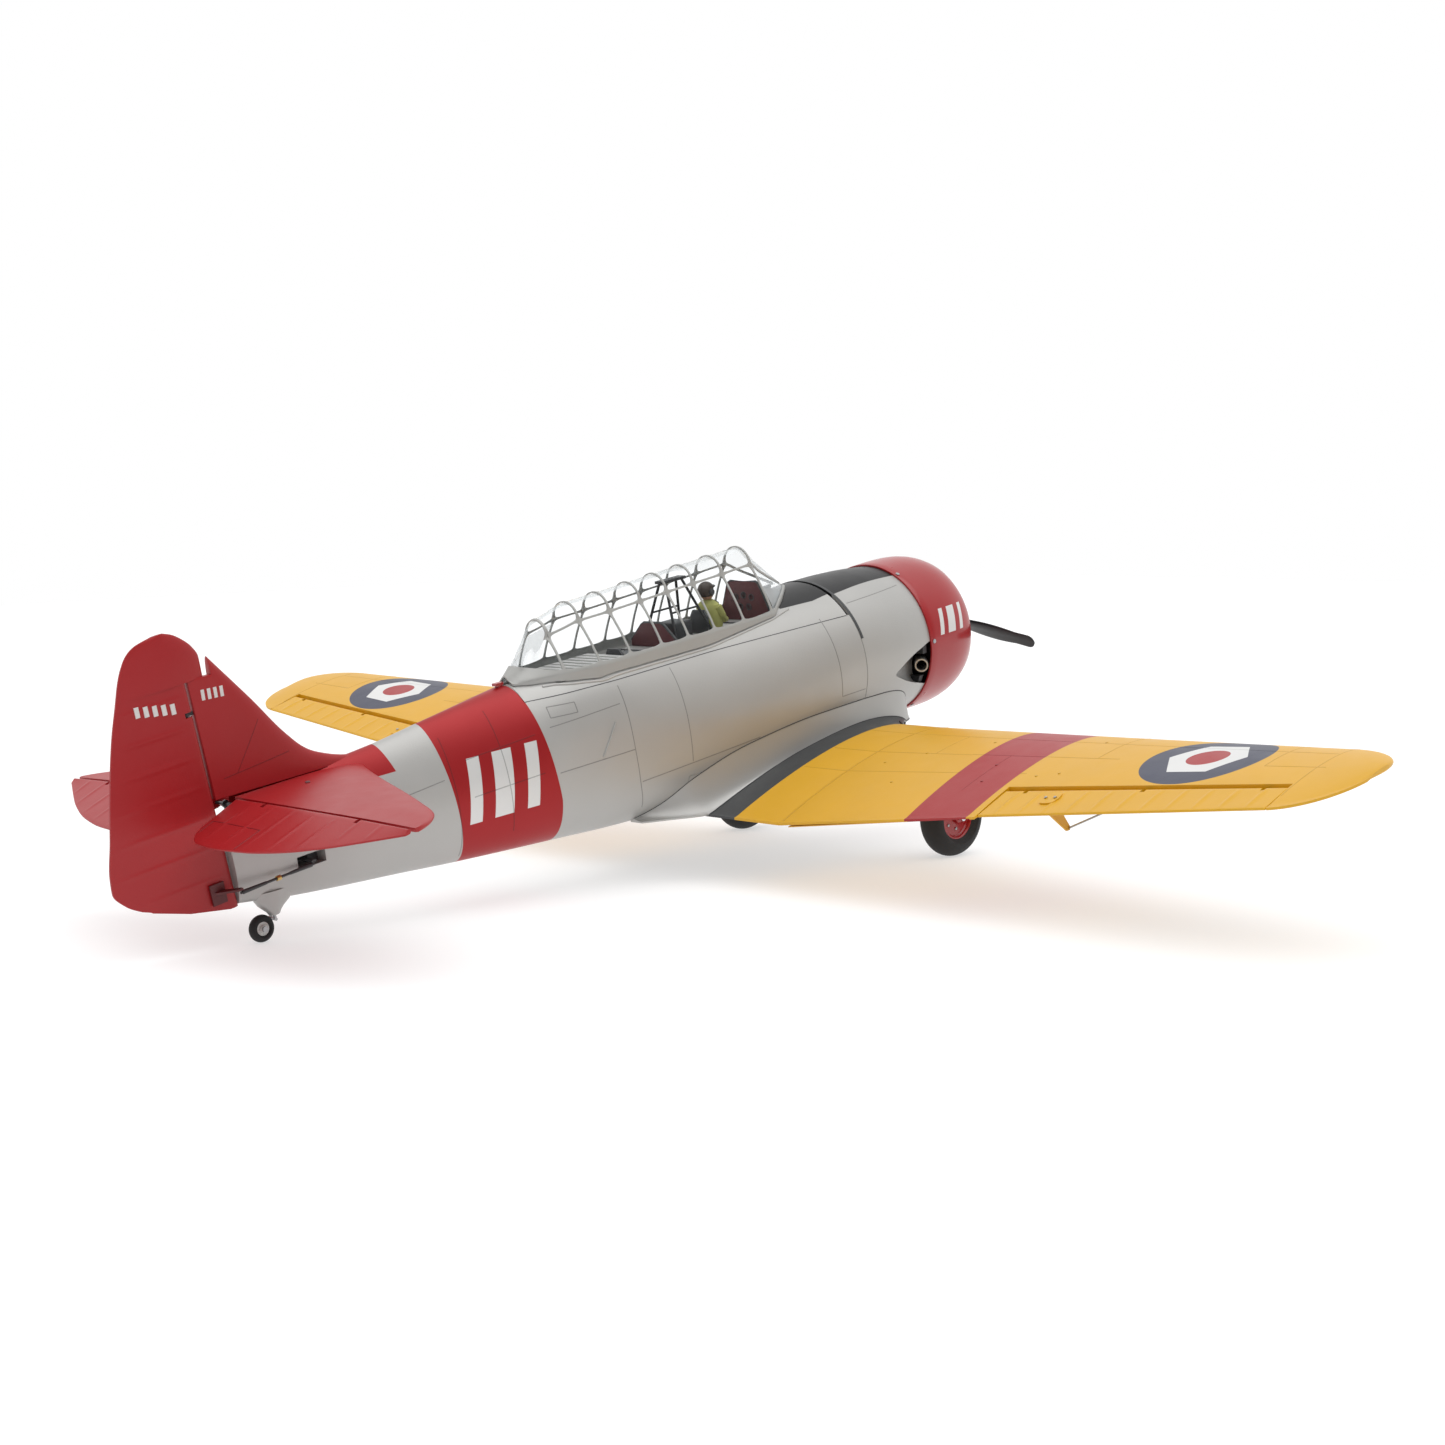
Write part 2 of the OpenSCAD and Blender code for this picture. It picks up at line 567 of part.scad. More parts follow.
module rudder() {
    color(RED) stand() rudder_frame() difference() {
        union() {
            loft([for (h = [rudder_floor, 20, 32, 48, 60, 123, 170, 196.8])
                rudder_ring(h, mix(rudder_nose, 4.2, h / 200))]);
            loft([for (row = balance) balance_ring(row)]);
        }
        // The lower edge rises towards the tail
        translate([0, 20, 0]) rotate([90, 0, 0]) linear_extrude(40)
            polygon([[8, -1.5], [-4, 0], [-40, 8.5], [-72, 20.5], [-110, 30], [-110, -5], [8, -5]]);
        for (h = rudder_lugs) translate([-3.6, -12, h - 2.2]) cube([15, 24, 4.4]);
        translate([0, 0, 40]) cylinder(h = 150, r = pin_r + pin_fit, $fn = 32);
        // Clearance over the top of the fin
        translate([4, -10, 190]) cube([40, 20, 8.6]);
    }
}
horn_h = 17; // height of the rudder horn along the axis
rudder_arm_len = 20;
rudder_servo = [885, -2];
module rudder_plane() { rudder_frame() translate([0, 0, horn_h]) children(); }
servo_reach = rudder_servo[0] - rudder_foot[0];
module rudder_horn() {
    color(BLACK) stand() rudder_plane() difference() {
        union() {
            translate([-20, -5.6 - 1.6, -9]) cube([14, 1.6, 18]);
            translate([-12, -9, 0]) cube([6, 2.2, arm_t]);
            linear_extrude(arm_t) polygon([[-17, -7], [-7, -7], [2.6, -rudder_arm_len + 1],
                [2.2, -rudder_arm_len - 2.2], [-2.4, -rudder_arm_len - 2.2]]);
        }
        translate([0, -rudder_arm_len, -1]) cylinder(h = 5, r = rod_r + 0.1, $fn = 24);
    }
}
module rudder_arm() {
    color(BLACK) stand() rudder_plane() translate([-servo_reach, rudder_servo[1], 0]) difference() {
        union() {
            cylinder(h = arm_t, r = 3.6, $fn = 32);
            translate([-2.4, -rudder_arm_len - 2.2, 0]) cube([4.8, rudder_arm_len, arm_t]);
        }
        translate([0, -rudder_arm_len, -1]) cylinder(h = 5, r = rod_r + 0.1, $fn = 24);
    }
}
module rudder_pushrod() {
    color(BLACK) stand() rudder_plane() {
        start = [-servo_reach, rudder_servo[1] - rudder_arm_len, -2.2];
        end = [0, -rudder_arm_len, -2.2];
        bearing = atan2(end[1] - start[1], end[0] - start[0]);
        translate(start) rotate([0, 0, bearing]) rotate([0, 90, 0])
            cylinder(h = norm(end - start), r = rod_r + 0.3, $fn = 24);
        translate(start - [0, 0, 1]) cylinder(h = 5.6, r = rod_r, $fn = 24);
    }
}

// ---------------------------------------------------------------- ailerons and flaps
aileron_te = [-42, -35];
module aileron_solid() {
    loft([for (k = [0, 0.5, 1]) wedge(mix(0.2, aileron_len - 0.2, k), mix(6.4, 4, k),
        mix(aileron_te[0], aileron_te[1], k), mix(-5, -4, k), 1)]);
}
aileron_lugs = [24, 150, 268];
module aileron(is_left) {
    color(YELLOW) stand() side(is_left) aileron_frame() difference() {
        aileron_solid();
        for (y = aileron_lugs) lug_room(y, 4.4, 15);
        along_y(pin_r + pin_fit, 10, aileron_len - 8);
    }
}
aileron_horn_y = 62;
aileron_arm_len = 27;
aileron_servo_x = 62; // how far the servo's shaft is ahead of the hinge
module aileron_horn(is_left) {
    color(BLACK) stand() side(is_left) aileron_frame() difference() {
        union() {
            translate([-24, aileron_horn_y - 7, -9.4]) cube([18, 14, 1.6]);
            translate([0, aileron_horn_y + arm_t / 2, 0]) rotate([90, 0, 0]) linear_extrude(arm_t)
                polygon([[-22, -9], [-6, -9], [2.4, -aileron_arm_len + 1],
                    [1.8, -aileron_arm_len - 2.4], [-2.2, -aileron_arm_len - 2.4]]);
        }
        translate([0, 0, -aileron_arm_len]) along_y(rod_r + 0.1, aileron_horn_y - 5, aileron_horn_y + 5);
    }
}
module aileron_arm(is_left) {
    color([0.9, 0.9, 0.88]) stand() side(is_left) aileron_frame()
        translate([aileron_servo_x, aileron_horn_y, 0]) difference() {
        union() {
            along_y(3.4, -arm_t / 2, arm_t / 2);
            translate([-2.2, -arm_t / 2, -aileron_arm_len - 2.2]) cube([4.4, arm_t, aileron_arm_len]);
        }
        translate([0, 0, -aileron_arm_len]) along_y(rod_r + 0.1, -5, 5);
    }
}
module aileron_pushrod(is_left) {
    color(STEEL) stand() side(is_left) aileron_frame() {
        translate([0, aileron_horn_y + 2.4, -aileron_arm_len]) rotate([0, 90, 0])
            cylinder(h = aileron_servo_x, r = rod_r, $fn = 24);
        translate([aileron_servo_x, 0, -aileron_arm_len])
            along_y(rod_r, aileron_horn_y - 1.8, aileron_horn_y + 2.6);
    }
}
flap_te = [-58, -46];
flap_lugs = [14, 108, 204];
module flap(is_left) {
    color(YELLOW) stand() side(is_left) flap_frame() difference() {
        loft([for (k = [0, 1]) wedge(k * flap_len, 1.8, mix(flap_te[0], flap_te[1], k), -2.2, 0.45)]);
        for (y = flap_lugs) translate([-2.4, y - 1.7, -5]) cube([8, 3.4, 10]);
        along_y(0.75, -1, flap_len + 1);
    }
}
module hinges() {
    color(STEEL) stand() {
        for (left = [true, false]) side(left) {
            aileron_frame() {
                for (y = aileron_lugs) lug(y, 2.4, 6.6 + gap, 2);
                along_y(pin_r, 12, aileron_len - 10);
            }
            elevator_hinge() {
                for (y = elevator_lugs) lug(y, 2, 5.2 + gap, 1.6);
                along_y(pin_r, 42, 210);
            }
            flap_frame() {
                for (y = flap_lugs) {
                    along_y(1.4, y - 1.2, y + 1.2);
                    translate([0, y - 1.2, -0.5]) cube([2.4, 2.4, 1]);
                }
                along_y(0.7, 1, flap_len - 1);
            }
        }
        rudder_frame() {
            for (h = rudder_lugs) {
                translate([0, 0, h - 1.5]) cylinder(h = 3, r = 2.4, $fn = 32);
                translate([0, -1, h - 1.5]) cube([rudder_nose + gap, 2, 3]);
            }
            translate([0, 0, 42]) cylinder(h = 146, r = pin_r, $fn = 32);
        }
    }
}
servo_size = [23, 24, 12];
module servos() {
    color([0.12, 0.12, 0.13]) stand() {
        for (left = [true, false]) side(left) aileron_frame() {
            translate([aileron_servo_x - 6, 39, -6]) cube([23, 20, 11.6]);
            translate([aileron_servo_x, 0, 0]) along_y(2.6, 58, aileron_horn_y - arm_t / 2 - 0.2);
        }
        at([elevator_servo_s, 0, elevator_axis[1]]) {
            translate([-6, 4.2, -17]) cube([11, 8, 22]);
            along_y(2.2, 1.2 + arm_t, 5);
        }
        rudder_plane() translate([-servo_reach, rudder_servo[1], 0]) {
            translate([5.3, -5, -6]) cube([19.5, 6, 12]);
            translate([0, 0, arm_t + 0.2]) cylinder(h = 4, r = 2.2, $fn = 24);
            translate([-2, -1.5, arm_t + 2]) cube([8, 3, 2.6]);
        }
    }
}
module wing_bolt(r, head_r, play = 0) {
    translate([-440, 16, -97.2]) cylinder(h = 39, r = r, $fn = 24);
    translate([-440, 16, -99.4 - play * 100]) cylinder(h = 2.2 + play * 100, r = head_r, $fn = 24);
}
module screws() {
    color(STEEL) stand() {
        for (a = [30:60:330]) rotate([a, 0, 0])
            translate([-ring_s[1] + 4, 0, cowl_r - 0.3]) cylinder(h = 0.9, r = 2.2, $fn = 24);
        // Heads of the two screws through the tailplane roots
        for (left = [true, false]) side(left)
            translate([-stab_tube_s - 14, 34, elevator_axis[1] + 6]) cylinder(h = 0.9, r = 2.2, $fn = 24);
        // Two bolts that hold the wing centre up to the fuselage
        for (left = [true, false]) side(left) wing_bolt(2, 4);
    }
}

// ---------------------------------------------------------------- undercarriage
leg_angle = atan2(leg_top[0] - main_axle[0], leg_top[2] - main_axle[2]);
leg_len = norm([leg_top[0] - main_axle[0], leg_top[2] - main_axle[2]]);
module leg_frame() { at(leg_top) rotate([0, 180 - leg_angle, 0]) children(); }
module retract_units() {
    color([0.2, 0.2, 0.22]) stand() for (left = [true, false]) side(left) at(leg_top) {
        difference() {
            union() {
                translate([8, -11, -7]) cube([4, 22, 14]);
                translate([-12, -11, -7]) cube([4, 22, 14]);
                translate([-12, 6, -7]) cube([24, 5, 14]);
            }
            translate([-15, 0, 0]) rotate([0, 90, 0]) cylinder(h = 30, r = 2 + pin_fit, $fn = 32);
        }
    }
}
module gear_leg(is_left) {
    axle_in = main_axle[1] - leg_top[1];
    color(STEEL) stand() side(is_left) {
        at(leg_top) {
            translate([-11.5, 0, 0]) rotate([0, 90, 0]) cylinder(h = 23, r = 2, $fn = 32);
            translate([-7.4, 0, 0]) rotate([0, 90, 0]) cylinder(h = 14.8, r = 5, $fn = 32);
        }
        difference() {
            leg_frame() {
                cylinder(h = leg_len * 0.6, r = leg_r, $fn = 32);
                cylinder(h = leg_len, r = leg_r * 0.7, $fn = 32);
            }
        }
        at([main_axle[0], leg_top[1], main_axle[2]]) {
            along_y(4.6, -4, 4);
            along_y(2, 0, axle_in + 17);
            along_y(3.6, axle_in + 14.3, axle_in + 17);
        }
    }
}
module tyre_section(r, w, bore) {
    rotate([-90, 0, 0]) rotate_extrude($fn = 72) polygon(concat([[bore, -w * 0.3]],
        [for (k = [0:10]) let (a = -90 + 18 * k) [r - w * 0.46 + w * 0.46 * cos(a), w / 2 * sin(a)]],
        [[bore, w * 0.3]]));
}
hub_r = 23;
module main_tyre(is_left) {
    color(BLACK) stand() side(is_left) at(main_axle) tyre_section(tyre_r, tyre_w, hub_r);
}
module main_hub(is_left) {
    color(RED) stand() side(is_left) at(main_axle) difference() {
        union() {
            rotate([-90, 0, 0]) translate([0, 0, -tyre_w * 0.3]) cylinder(h = tyre_w * 0.6, r = hub_r, $fn = 72);
            along_y(6, -11, 12);
        }
        for (left = [true, false]) side(left)
            rotate([-90, 0, 0]) translate([0, 0, 4]) rotate_extrude($fn = 72)
                polygon([[8, 0], [20, 0], [21, 10], [7, 10]]);
        along_y(2 + pin_fit, -20, 20);
    }
}
steer_s = 919;
module tail_wheel_bearing() {
    color([0.8, 0.8, 0.8]) stand() difference() {
        union() {
            translate([-steer_s, 0, -74]) cylinder(h = 34, r = 3.4, $fn = 32);
            translate([-steer_s, 0, -74]) cylinder(h = 18, r1 = 4.5, r2 = 13, $fn = 48);
        }
        translate([-steer_s, 0, -80]) cylinder(h = 50, r = 1.5 + pin_fit, $fn = 32);
        body_solid_low();
    }
}
module body_solid_low() {
    difference() {
        body_solid(-0.05, 850, 970);
        translate([-steer_s, 0, -90]) cylinder(h = 60, r = 3.45, $fn = 32);
    }
}
module tail_wheel_leg() {
    arm_y = 7;
    color(STEEL) stand() {
        translate([-steer_s, 0, -76]) cylinder(h = 40, r = 1.5, $fn = 32);
        translate([-steer_s, 0, -39.7]) cylinder(h = 2.5, r = 3, $fn = 32);
        at([steer_s, 0, -76]) along_y(1.5, -1.5, arm_y);
        reach = [tail_axle[0] - steer_s, tail_axle[2] + 76];
        at([steer_s, arm_y, -76]) along_y(2.2, -1.5, 1.5);
        at([tail_axle[0], arm_y, tail_axle[2]]) along_y(2.2, -1.5, 1.5);
        at([steer_s, arm_y, -76]) rotate([0, -atan2(-reach[1], reach[0]), 0]) rotate([0, -90, 0])
            cylinder(h = norm(reach), r = 1.5, $fn = 32);
        at([tail_axle[0], 0, tail_axle[2]]) {
            along_y(1.5, -7, arm_y + 1);
            along_y(2.8, -7, -5.4);
        }
    }
}
module tail_tyre() {
    color(BLACK) stand() at(tail_axle) tyre_section(tail_tyre_r, 9, 6);
}
module tail_wheel_hub() {
    color([0.85, 0.85, 0.85]) stand() at(tail_axle) difference() {
        union() {
            along_y(6, -2.7, 2.7);
            along_y(3.4, -5, 5);
        }
        along_y(1.5 + pin_fit, -8, 8);
    }
}

// ---------------------------------------------------------------- hatch and cockpit
cabin_s = [298, 598]; // stations of the cockpit opening
cabin_floor = 60;
module hatch() {
    color(SILVER) stand() difference() {
        intersection() {
            body_solid(0, 232, 680);
            block([hatch_s[0], hatch_s[1]], [-90, 90], [hatch_z, 100]);
        }
        block(cabin_s, [-35, 35], [cabin_floor, 100]);
        block([628, 640], [-2.6, 2.6], [62.5, 80]);
    }
}
// Rows of [station, half width at the sill, sill height, radius of the roof arch, roof height]
canopy_rows = [[262, 9, 86, 3.5, 91], [275, 19, 82.5, 6.8, 101.5], [288, 28, 79.5, 10, 112],
    [302, 35.5, 74, 13.9, 124], [316, 42, 69, 17.7, 136],
    [357, 42, 68, 17.7, 134.3], [398, 42, 68, 17.7, 132.8], [434, 42, 68, 17.7, 131.3],
    [470, 42, 68, 17.7, 129.8], [511, 42, 68, 17.7, 128.1], [550, 41.5, 68, 17.2, 126.5],
    [570, 37.5, 68, 15.8, 121.6],
    [588, 33, 68, 14.5, 117], [603, 27, 68, 11.2, 101],
    [612, 22.8, 68, 9.3, 91.4], [618, 20, 68, 8, 85], [634, 10, 66, 4, 72]];
canopy_n = 12;
canopy_t = 0.8; // thickness of the clear moulding
// Height of the deck beside the canopy at a station and a half width
function deck_z(s, y) = let (mid = lookup(s, widest_z))
    mid + (lookup(s, top_z) - mid)
        * pow(1 - pow(y / lookup(s, half_width), lookup(s, upper_power)), 1 / lookup(s, upper_power));
// Outline of the canopy from its starboard foot over the roof, set out by a distance
function canopy_line(row, out) = let (r = row[3] + out, top = row[4] - row[3],
        foot = deck_z(row[0], row[1]) + 1.5, w = mix(row[1], row[3], 0.5) + out + 1.5)
    concat([[-row[0], -row[1] - out, foot], [-row[0], -row[1] - out, row[2]],
            [-row[0], -w, mix(row[2], top, 0.5)]],
        [for (k = [0:canopy_n]) let (a = 180 * k / canopy_n) [-row[0], -r * cos(a), top + r * sin(a)]],
        [[-row[0], w, mix(row[2], top, 0.5)], [-row[0], row[1] + out, row[2]],
            [-row[0], row[1] + out, foot]]);
function reversed(v) = [for (k = [len(v) - 1:-1:0]) v[k]];
function canopy_band(row, inner, outer) =
    concat(canopy_line(row, outer), reversed(canopy_line(row, inner)));
function canopy_at(s) = [for (c = [0:4]) c == 0 ? s
    : lookup(s, [for (row = canopy_rows) [row[0], row[c]]])];
module canopy_glass() {
    color([0.85, 0.92, 0.95, 0.4]) stand()
        loft([for (row = canopy_rows) if (row[0] < 630) canopy_band(row, -canopy_t, 0)], true);
}
hoop_s = [316, 357, 398, 434, 470, 511, 550, 588];
frame_t = 1.2; // how far the frame stands out from the clear moulding
module canopy_hoop(from, to, gap = 0.45) {
    stations = concat([from], [for (row = canopy_rows) if (row[0] > from && row[0] < to) row[0]], [to]);
    loft([for (s = stations) canopy_band(canopy_at(s), gap, gap + frame_t - 0.15)], true);
}
// A rail on the moulding's side: four corners per row, between two heights
function rail_ring(row, y_low, y_high, low, high) = [[-row[0], y_low + 0.3, low],
    [-row[0], y_high + 0.3, high], [-row[0], y_high + frame_t - 0.15, high],
    [-row[0], y_low + frame_t - 0.15, low]];
module canopy_frame() {
    color(SILVER) stand() union() {
        for (s = hoop_s) canopy_hoop(s - 2, s + 2);
        canopy_hoop(612, 634, 1.35);
        for (left = [true, false]) side(left) {
            loft([for (row = canopy_rows) if (row[0] < 615)
                rail_ring(row, row[1], row[1], deck_z(row[0], row[1]) + 0.7, row[2] - 0.5)]);
            loft([for (row = canopy_rows) if (row[0] >= 316 && row[0] <= 588) let (z = row[4] - row[3])
                rail_ring(row, row[3] + 1.25, row[3] + 0.05, z - 2, z + 2)]);
        }
    }
}
// Instrument coaming: a slab across the cockpit with its upper corners cut
module coaming(s, half, top_half, shoulder, height) {
    translate([-s, 0, cabin_floor]) rotate([90, 0, 90]) linear_extrude(3, center = true)
        polygon([[-half, 0], [-half, shoulder], [-top_half, height], [top_half, height],
            [half, shoulder], [half, 0]]);
}
module seat(s) {
    block([s - 24, s], [-12, 12], [cabin_floor, cabin_floor + 3]);
    block([s, s + 3], [-12, 12], [cabin_floor, cabin_floor + 24]);
}
module cockpit_fittings() {
    color(MAROON) stand() {
        coaming(311, 34, 22, 10, 40);
        coaming(441, 33, 16, 6, 24);
        seat(376);
        seat(494);
        // Radio box behind the front seat
        block([402, 424], [-14, 14], [cabin_floor, cabin_floor + 20]);
    }
}
module strut(from, to, r) {
    span = to - from;
    translate(from) rotate([0, acos(span[2] / norm(span)), atan2(span[1], span[0])])
        cylinder(h = norm(span), r = r, $fn = 24);
}
module rollover_frame() {
    tube = 1.4;
    color(BLACK) stand() {
        block([394, 426], [-6, 6], [119.5, 122.5]);
        for (y = [-1, 1]) {
            strut([-383, y * 24, cabin_floor + 0.9], [-399, y * 4, 120.5], tube);
            strut([-434, y * 24, cabin_floor + 0.9], [-421, y * 4, 120.5], tube);
        }
    }
}
module pilot() {
    color([0.35, 0.22, 0.14]) stand() translate([-363, 0, cabin_floor + 3]) {
        translate([0, 0, 36]) sphere(r = 10, $fn = 48);
        rotate_extrude($fn = 48)
            polygon([[0, 0], [12, 0], [13, 10], [10, 16], [4.5, 19], [4, 30], [0, 30]]);
    }
}
module hatch_latch() {
    color(RED) stand() {
        block([639, 644], [-2.6, 2.6], [61.5, 68]);
        block([637.8, 647], [-3, 3], [67, 69.5]);
    }
}

fuselage();
nose_cowl();
cowl_ring();
screws();
dummy_engine();
motor_mount();
motor_stator();
motor_bell();
propeller();
prop_nut();
exhaust_pipe();
battery();
speed_controller();
receiver();
wing_center();
wing_panel(true);  // left_wing
wing_panel(false);  // right_wing
spar_tubes();
fin();
stabilizer(true);  // left_stabilizer
stabilizer(false);  // right_stabilizer
servos();
hinges();
retract_units();
tail_wheel_bearing();
gear_leg(true);  // left_gear_leg
main_tyre(true);  // left_tyre
main_hub(true);  // left_wheel_hub
gear_leg(false);  // right_gear_leg
main_tyre(false);  // right_tyre
main_hub(false);  // right_wheel_hub
tail_wheel_leg();
tail_tyre();
tail_wheel_hub();
aileron(true);  // left_aileron
aileron_horn(true);  // left_aileron_horn
aileron_arm(true);  // left_aileron_arm
aileron_pushrod(true);  // left_aileron_pushrod
aileron(false);  // right_aileron
aileron_horn(false);  // right_aileron_horn
aileron_arm(false);  // right_aileron_arm
aileron_pushrod(false);  // right_aileron_pushrod
flap(true);  // left_flap
flap(false);  // right_flap
elevator(true);  // left_elevator
elevator(false);  // right_elevator
elevator_joiner();
elevator_arm();
elevator_pushrod();
rudder();
rudder_horn();
rudder_arm();
rudder_pushrod();
hatch();
canopy_frame();
canopy_glass();
cockpit_fittings();
rollover_frame();
pilot();
hatch_latch();
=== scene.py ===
"""Looks for a radio-controlled foam aeroplane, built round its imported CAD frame."""
import json
import math

import bmesh
import bpy
import numpy as np
from mathutils import Matrix, Vector


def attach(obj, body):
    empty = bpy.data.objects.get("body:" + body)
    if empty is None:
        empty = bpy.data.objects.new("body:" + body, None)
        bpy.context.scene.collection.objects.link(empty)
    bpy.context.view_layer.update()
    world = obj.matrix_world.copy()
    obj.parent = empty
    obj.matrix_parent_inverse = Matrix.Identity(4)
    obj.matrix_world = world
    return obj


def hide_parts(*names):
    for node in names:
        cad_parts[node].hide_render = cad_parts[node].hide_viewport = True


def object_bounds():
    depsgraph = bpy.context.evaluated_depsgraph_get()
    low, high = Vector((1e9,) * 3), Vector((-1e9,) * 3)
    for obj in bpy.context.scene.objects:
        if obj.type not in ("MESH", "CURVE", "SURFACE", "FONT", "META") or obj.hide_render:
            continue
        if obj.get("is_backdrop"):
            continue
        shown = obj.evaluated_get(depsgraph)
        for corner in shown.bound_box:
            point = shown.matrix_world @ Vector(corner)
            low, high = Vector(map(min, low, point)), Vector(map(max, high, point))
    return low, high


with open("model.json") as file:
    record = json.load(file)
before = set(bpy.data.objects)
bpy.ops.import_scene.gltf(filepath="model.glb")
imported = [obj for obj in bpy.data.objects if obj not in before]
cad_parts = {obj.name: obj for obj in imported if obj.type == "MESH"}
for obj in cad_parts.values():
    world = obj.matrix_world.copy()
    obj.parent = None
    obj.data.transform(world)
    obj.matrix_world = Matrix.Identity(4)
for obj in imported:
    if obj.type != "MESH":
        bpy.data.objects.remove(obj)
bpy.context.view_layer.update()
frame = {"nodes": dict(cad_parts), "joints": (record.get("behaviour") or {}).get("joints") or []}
collection = bpy.context.scene.collection

# ------------------------------------------------------------------ aeroplane frame
# Stations s run aft from the propeller hub, y to the aeroplane's left, z up from the thrust
# line, all in millimetres. The propeller's joint carries that frame into the row frame.
JOINT = {j["name"]: j for j in frame["joints"]}
FWD = np.array(JOINT["propeller_spin"]["axis"])
HUB = np.array(JOINT["propeller_spin"]["pos_m"])
UP = np.array([-FWD[2], 0.0, FWD[0]])
AIR = np.eye(4)
AIR[:3, 0], AIR[:3, 1], AIR[:3, 2], AIR[:3, 3] = FWD / 1000, [0, 0.001, 0], UP / 1000, HUB
MIRROR = np.diag([1.0, -1, 1, 1])
SIDES = (("left", AIR), ("right", AIR @ MIRROR))


def shift(x, y, z):
    """A frame moved by x, y, z."""
    m = np.eye(4)
    m[:3, 3] = x, y, z
    return m


def turn(degrees, axis):
    """A frame turned about one of its axes."""
    return np.array(Matrix.Rotation(math.radians(degrees), 4, axis))


def circle(n):
    """Angles of n even steps round a full turn."""
    return np.linspace(0, 2 * math.pi, n, endpoint=False)


def put(m, p):
    """Points p in the frame m, in metres of the row frame."""
    p = np.asarray(p, float)
    return p @ m[:3, :3].T + m[:3, 3]


def at(s, y, z):
    """The aeroplane's frame with its origin moved to station s, y, z."""
    return AIR @ shift(-s, y, z)


def hinge_frame(inner, outer):
    """A frame whose y runs along a hinge, from its inner end (s, y, z) to its outer end."""
    tilt = math.degrees(math.atan2(outer[2] - inner[2], outer[1] - inner[1]))
    return shift(-inner[0], inner[1], inner[2]) @ turn(tilt, "X")


# Hinge lines of the moving surfaces, and their lengths
AILERON = hinge_frame((414.2, 402, -67.5), (414.2, 690, -38))
AILERON_LEN = 289.5
FLAP = hinge_frame((409, 179, -98.2), (409, 396, -73))
FLAP_LEN = 218.5
DROOP = 13.0
ELEVATOR = shift(-946.5, 0, 34) @ turn(-DROOP, "Y")
RUDDER_S, RUDDER_Z, RUDDER_LEAN = 959, -53, 3.54
RUDDER = shift(-RUDDER_S, 0, RUDDER_Z) @ turn(-RUDDER_LEAN, "Y")


def table(rows):
    """Smooth, monotone interpolation of rows of (place, value)."""
    x, v = np.array(rows, float).T
    h, d = np.diff(x), np.diff(v) / np.diff(x)
    m = np.zeros(len(x))
    m[0], m[-1] = d[0], d[-1]
    for i in range(1, len(x) - 1):
        if d[i - 1] * d[i] > 0:
            a, b = 2 * h[i] + h[i - 1], h[i] + 2 * h[i - 1]
            m[i] = (a + b) / (a / d[i - 1] + b / d[i])

    def look(q):
        q = np.clip(np.asarray(q, float), x[0], x[-1])
        i = np.clip(np.searchsorted(x, q) - 1, 0, len(h) - 1)
        t = (q - x[i]) / h[i]
        return (v[i] * (1 + 2 * t) * (1 - t) ** 2 + m[i] * h[i] * t * (1 - t) ** 2
                + v[i + 1] * t * t * (3 - 2 * t) + m[i + 1] * h[i] * t * t * (t - 1))
    return look


# ------------------------------------------------------------------ materials
class V:
    """A number in a material's node tree, so that masks read as sums."""

    def __init__(self, tree, socket):
        self.tree, self.socket = tree, socket

    def op(self, kind, *others, clamp=False):
        n = self.tree.nodes.new("ShaderNodeMath")
        n.operation, n.use_clamp = kind, clamp
        for i, v in enumerate((self,) + others):
            if isinstance(v, V):
                self.tree.links.new(v.socket, n.inputs[i])
            else:
                n.inputs[i].default_value = v
        return V(self.tree, n.outputs[0])

    def __add__(self, o):
        return self.op("ADD", o)

    def __sub__(self, o):
        return self.op("SUBTRACT", o)

    def __mul__(self, o):
        return self.op("MULTIPLY", o)

    def above(self, v, soft=0.3):
        return (self - v).op("MULTIPLY_ADD", 1 / soft, 0.5, clamp=True)

    def below(self, v, soft=0.3):
        return (self - v).op("MULTIPLY_ADD", -1 / soft, 0.5, clamp=True)

    def between(self, lo, hi, soft=0.3):
        return self.above(lo, soft) * self.below(hi, soft)

    def max(self, o):
        return self.op("MAXIMUM", o)

    def abs(self):
        return self.op("ABSOLUTE")


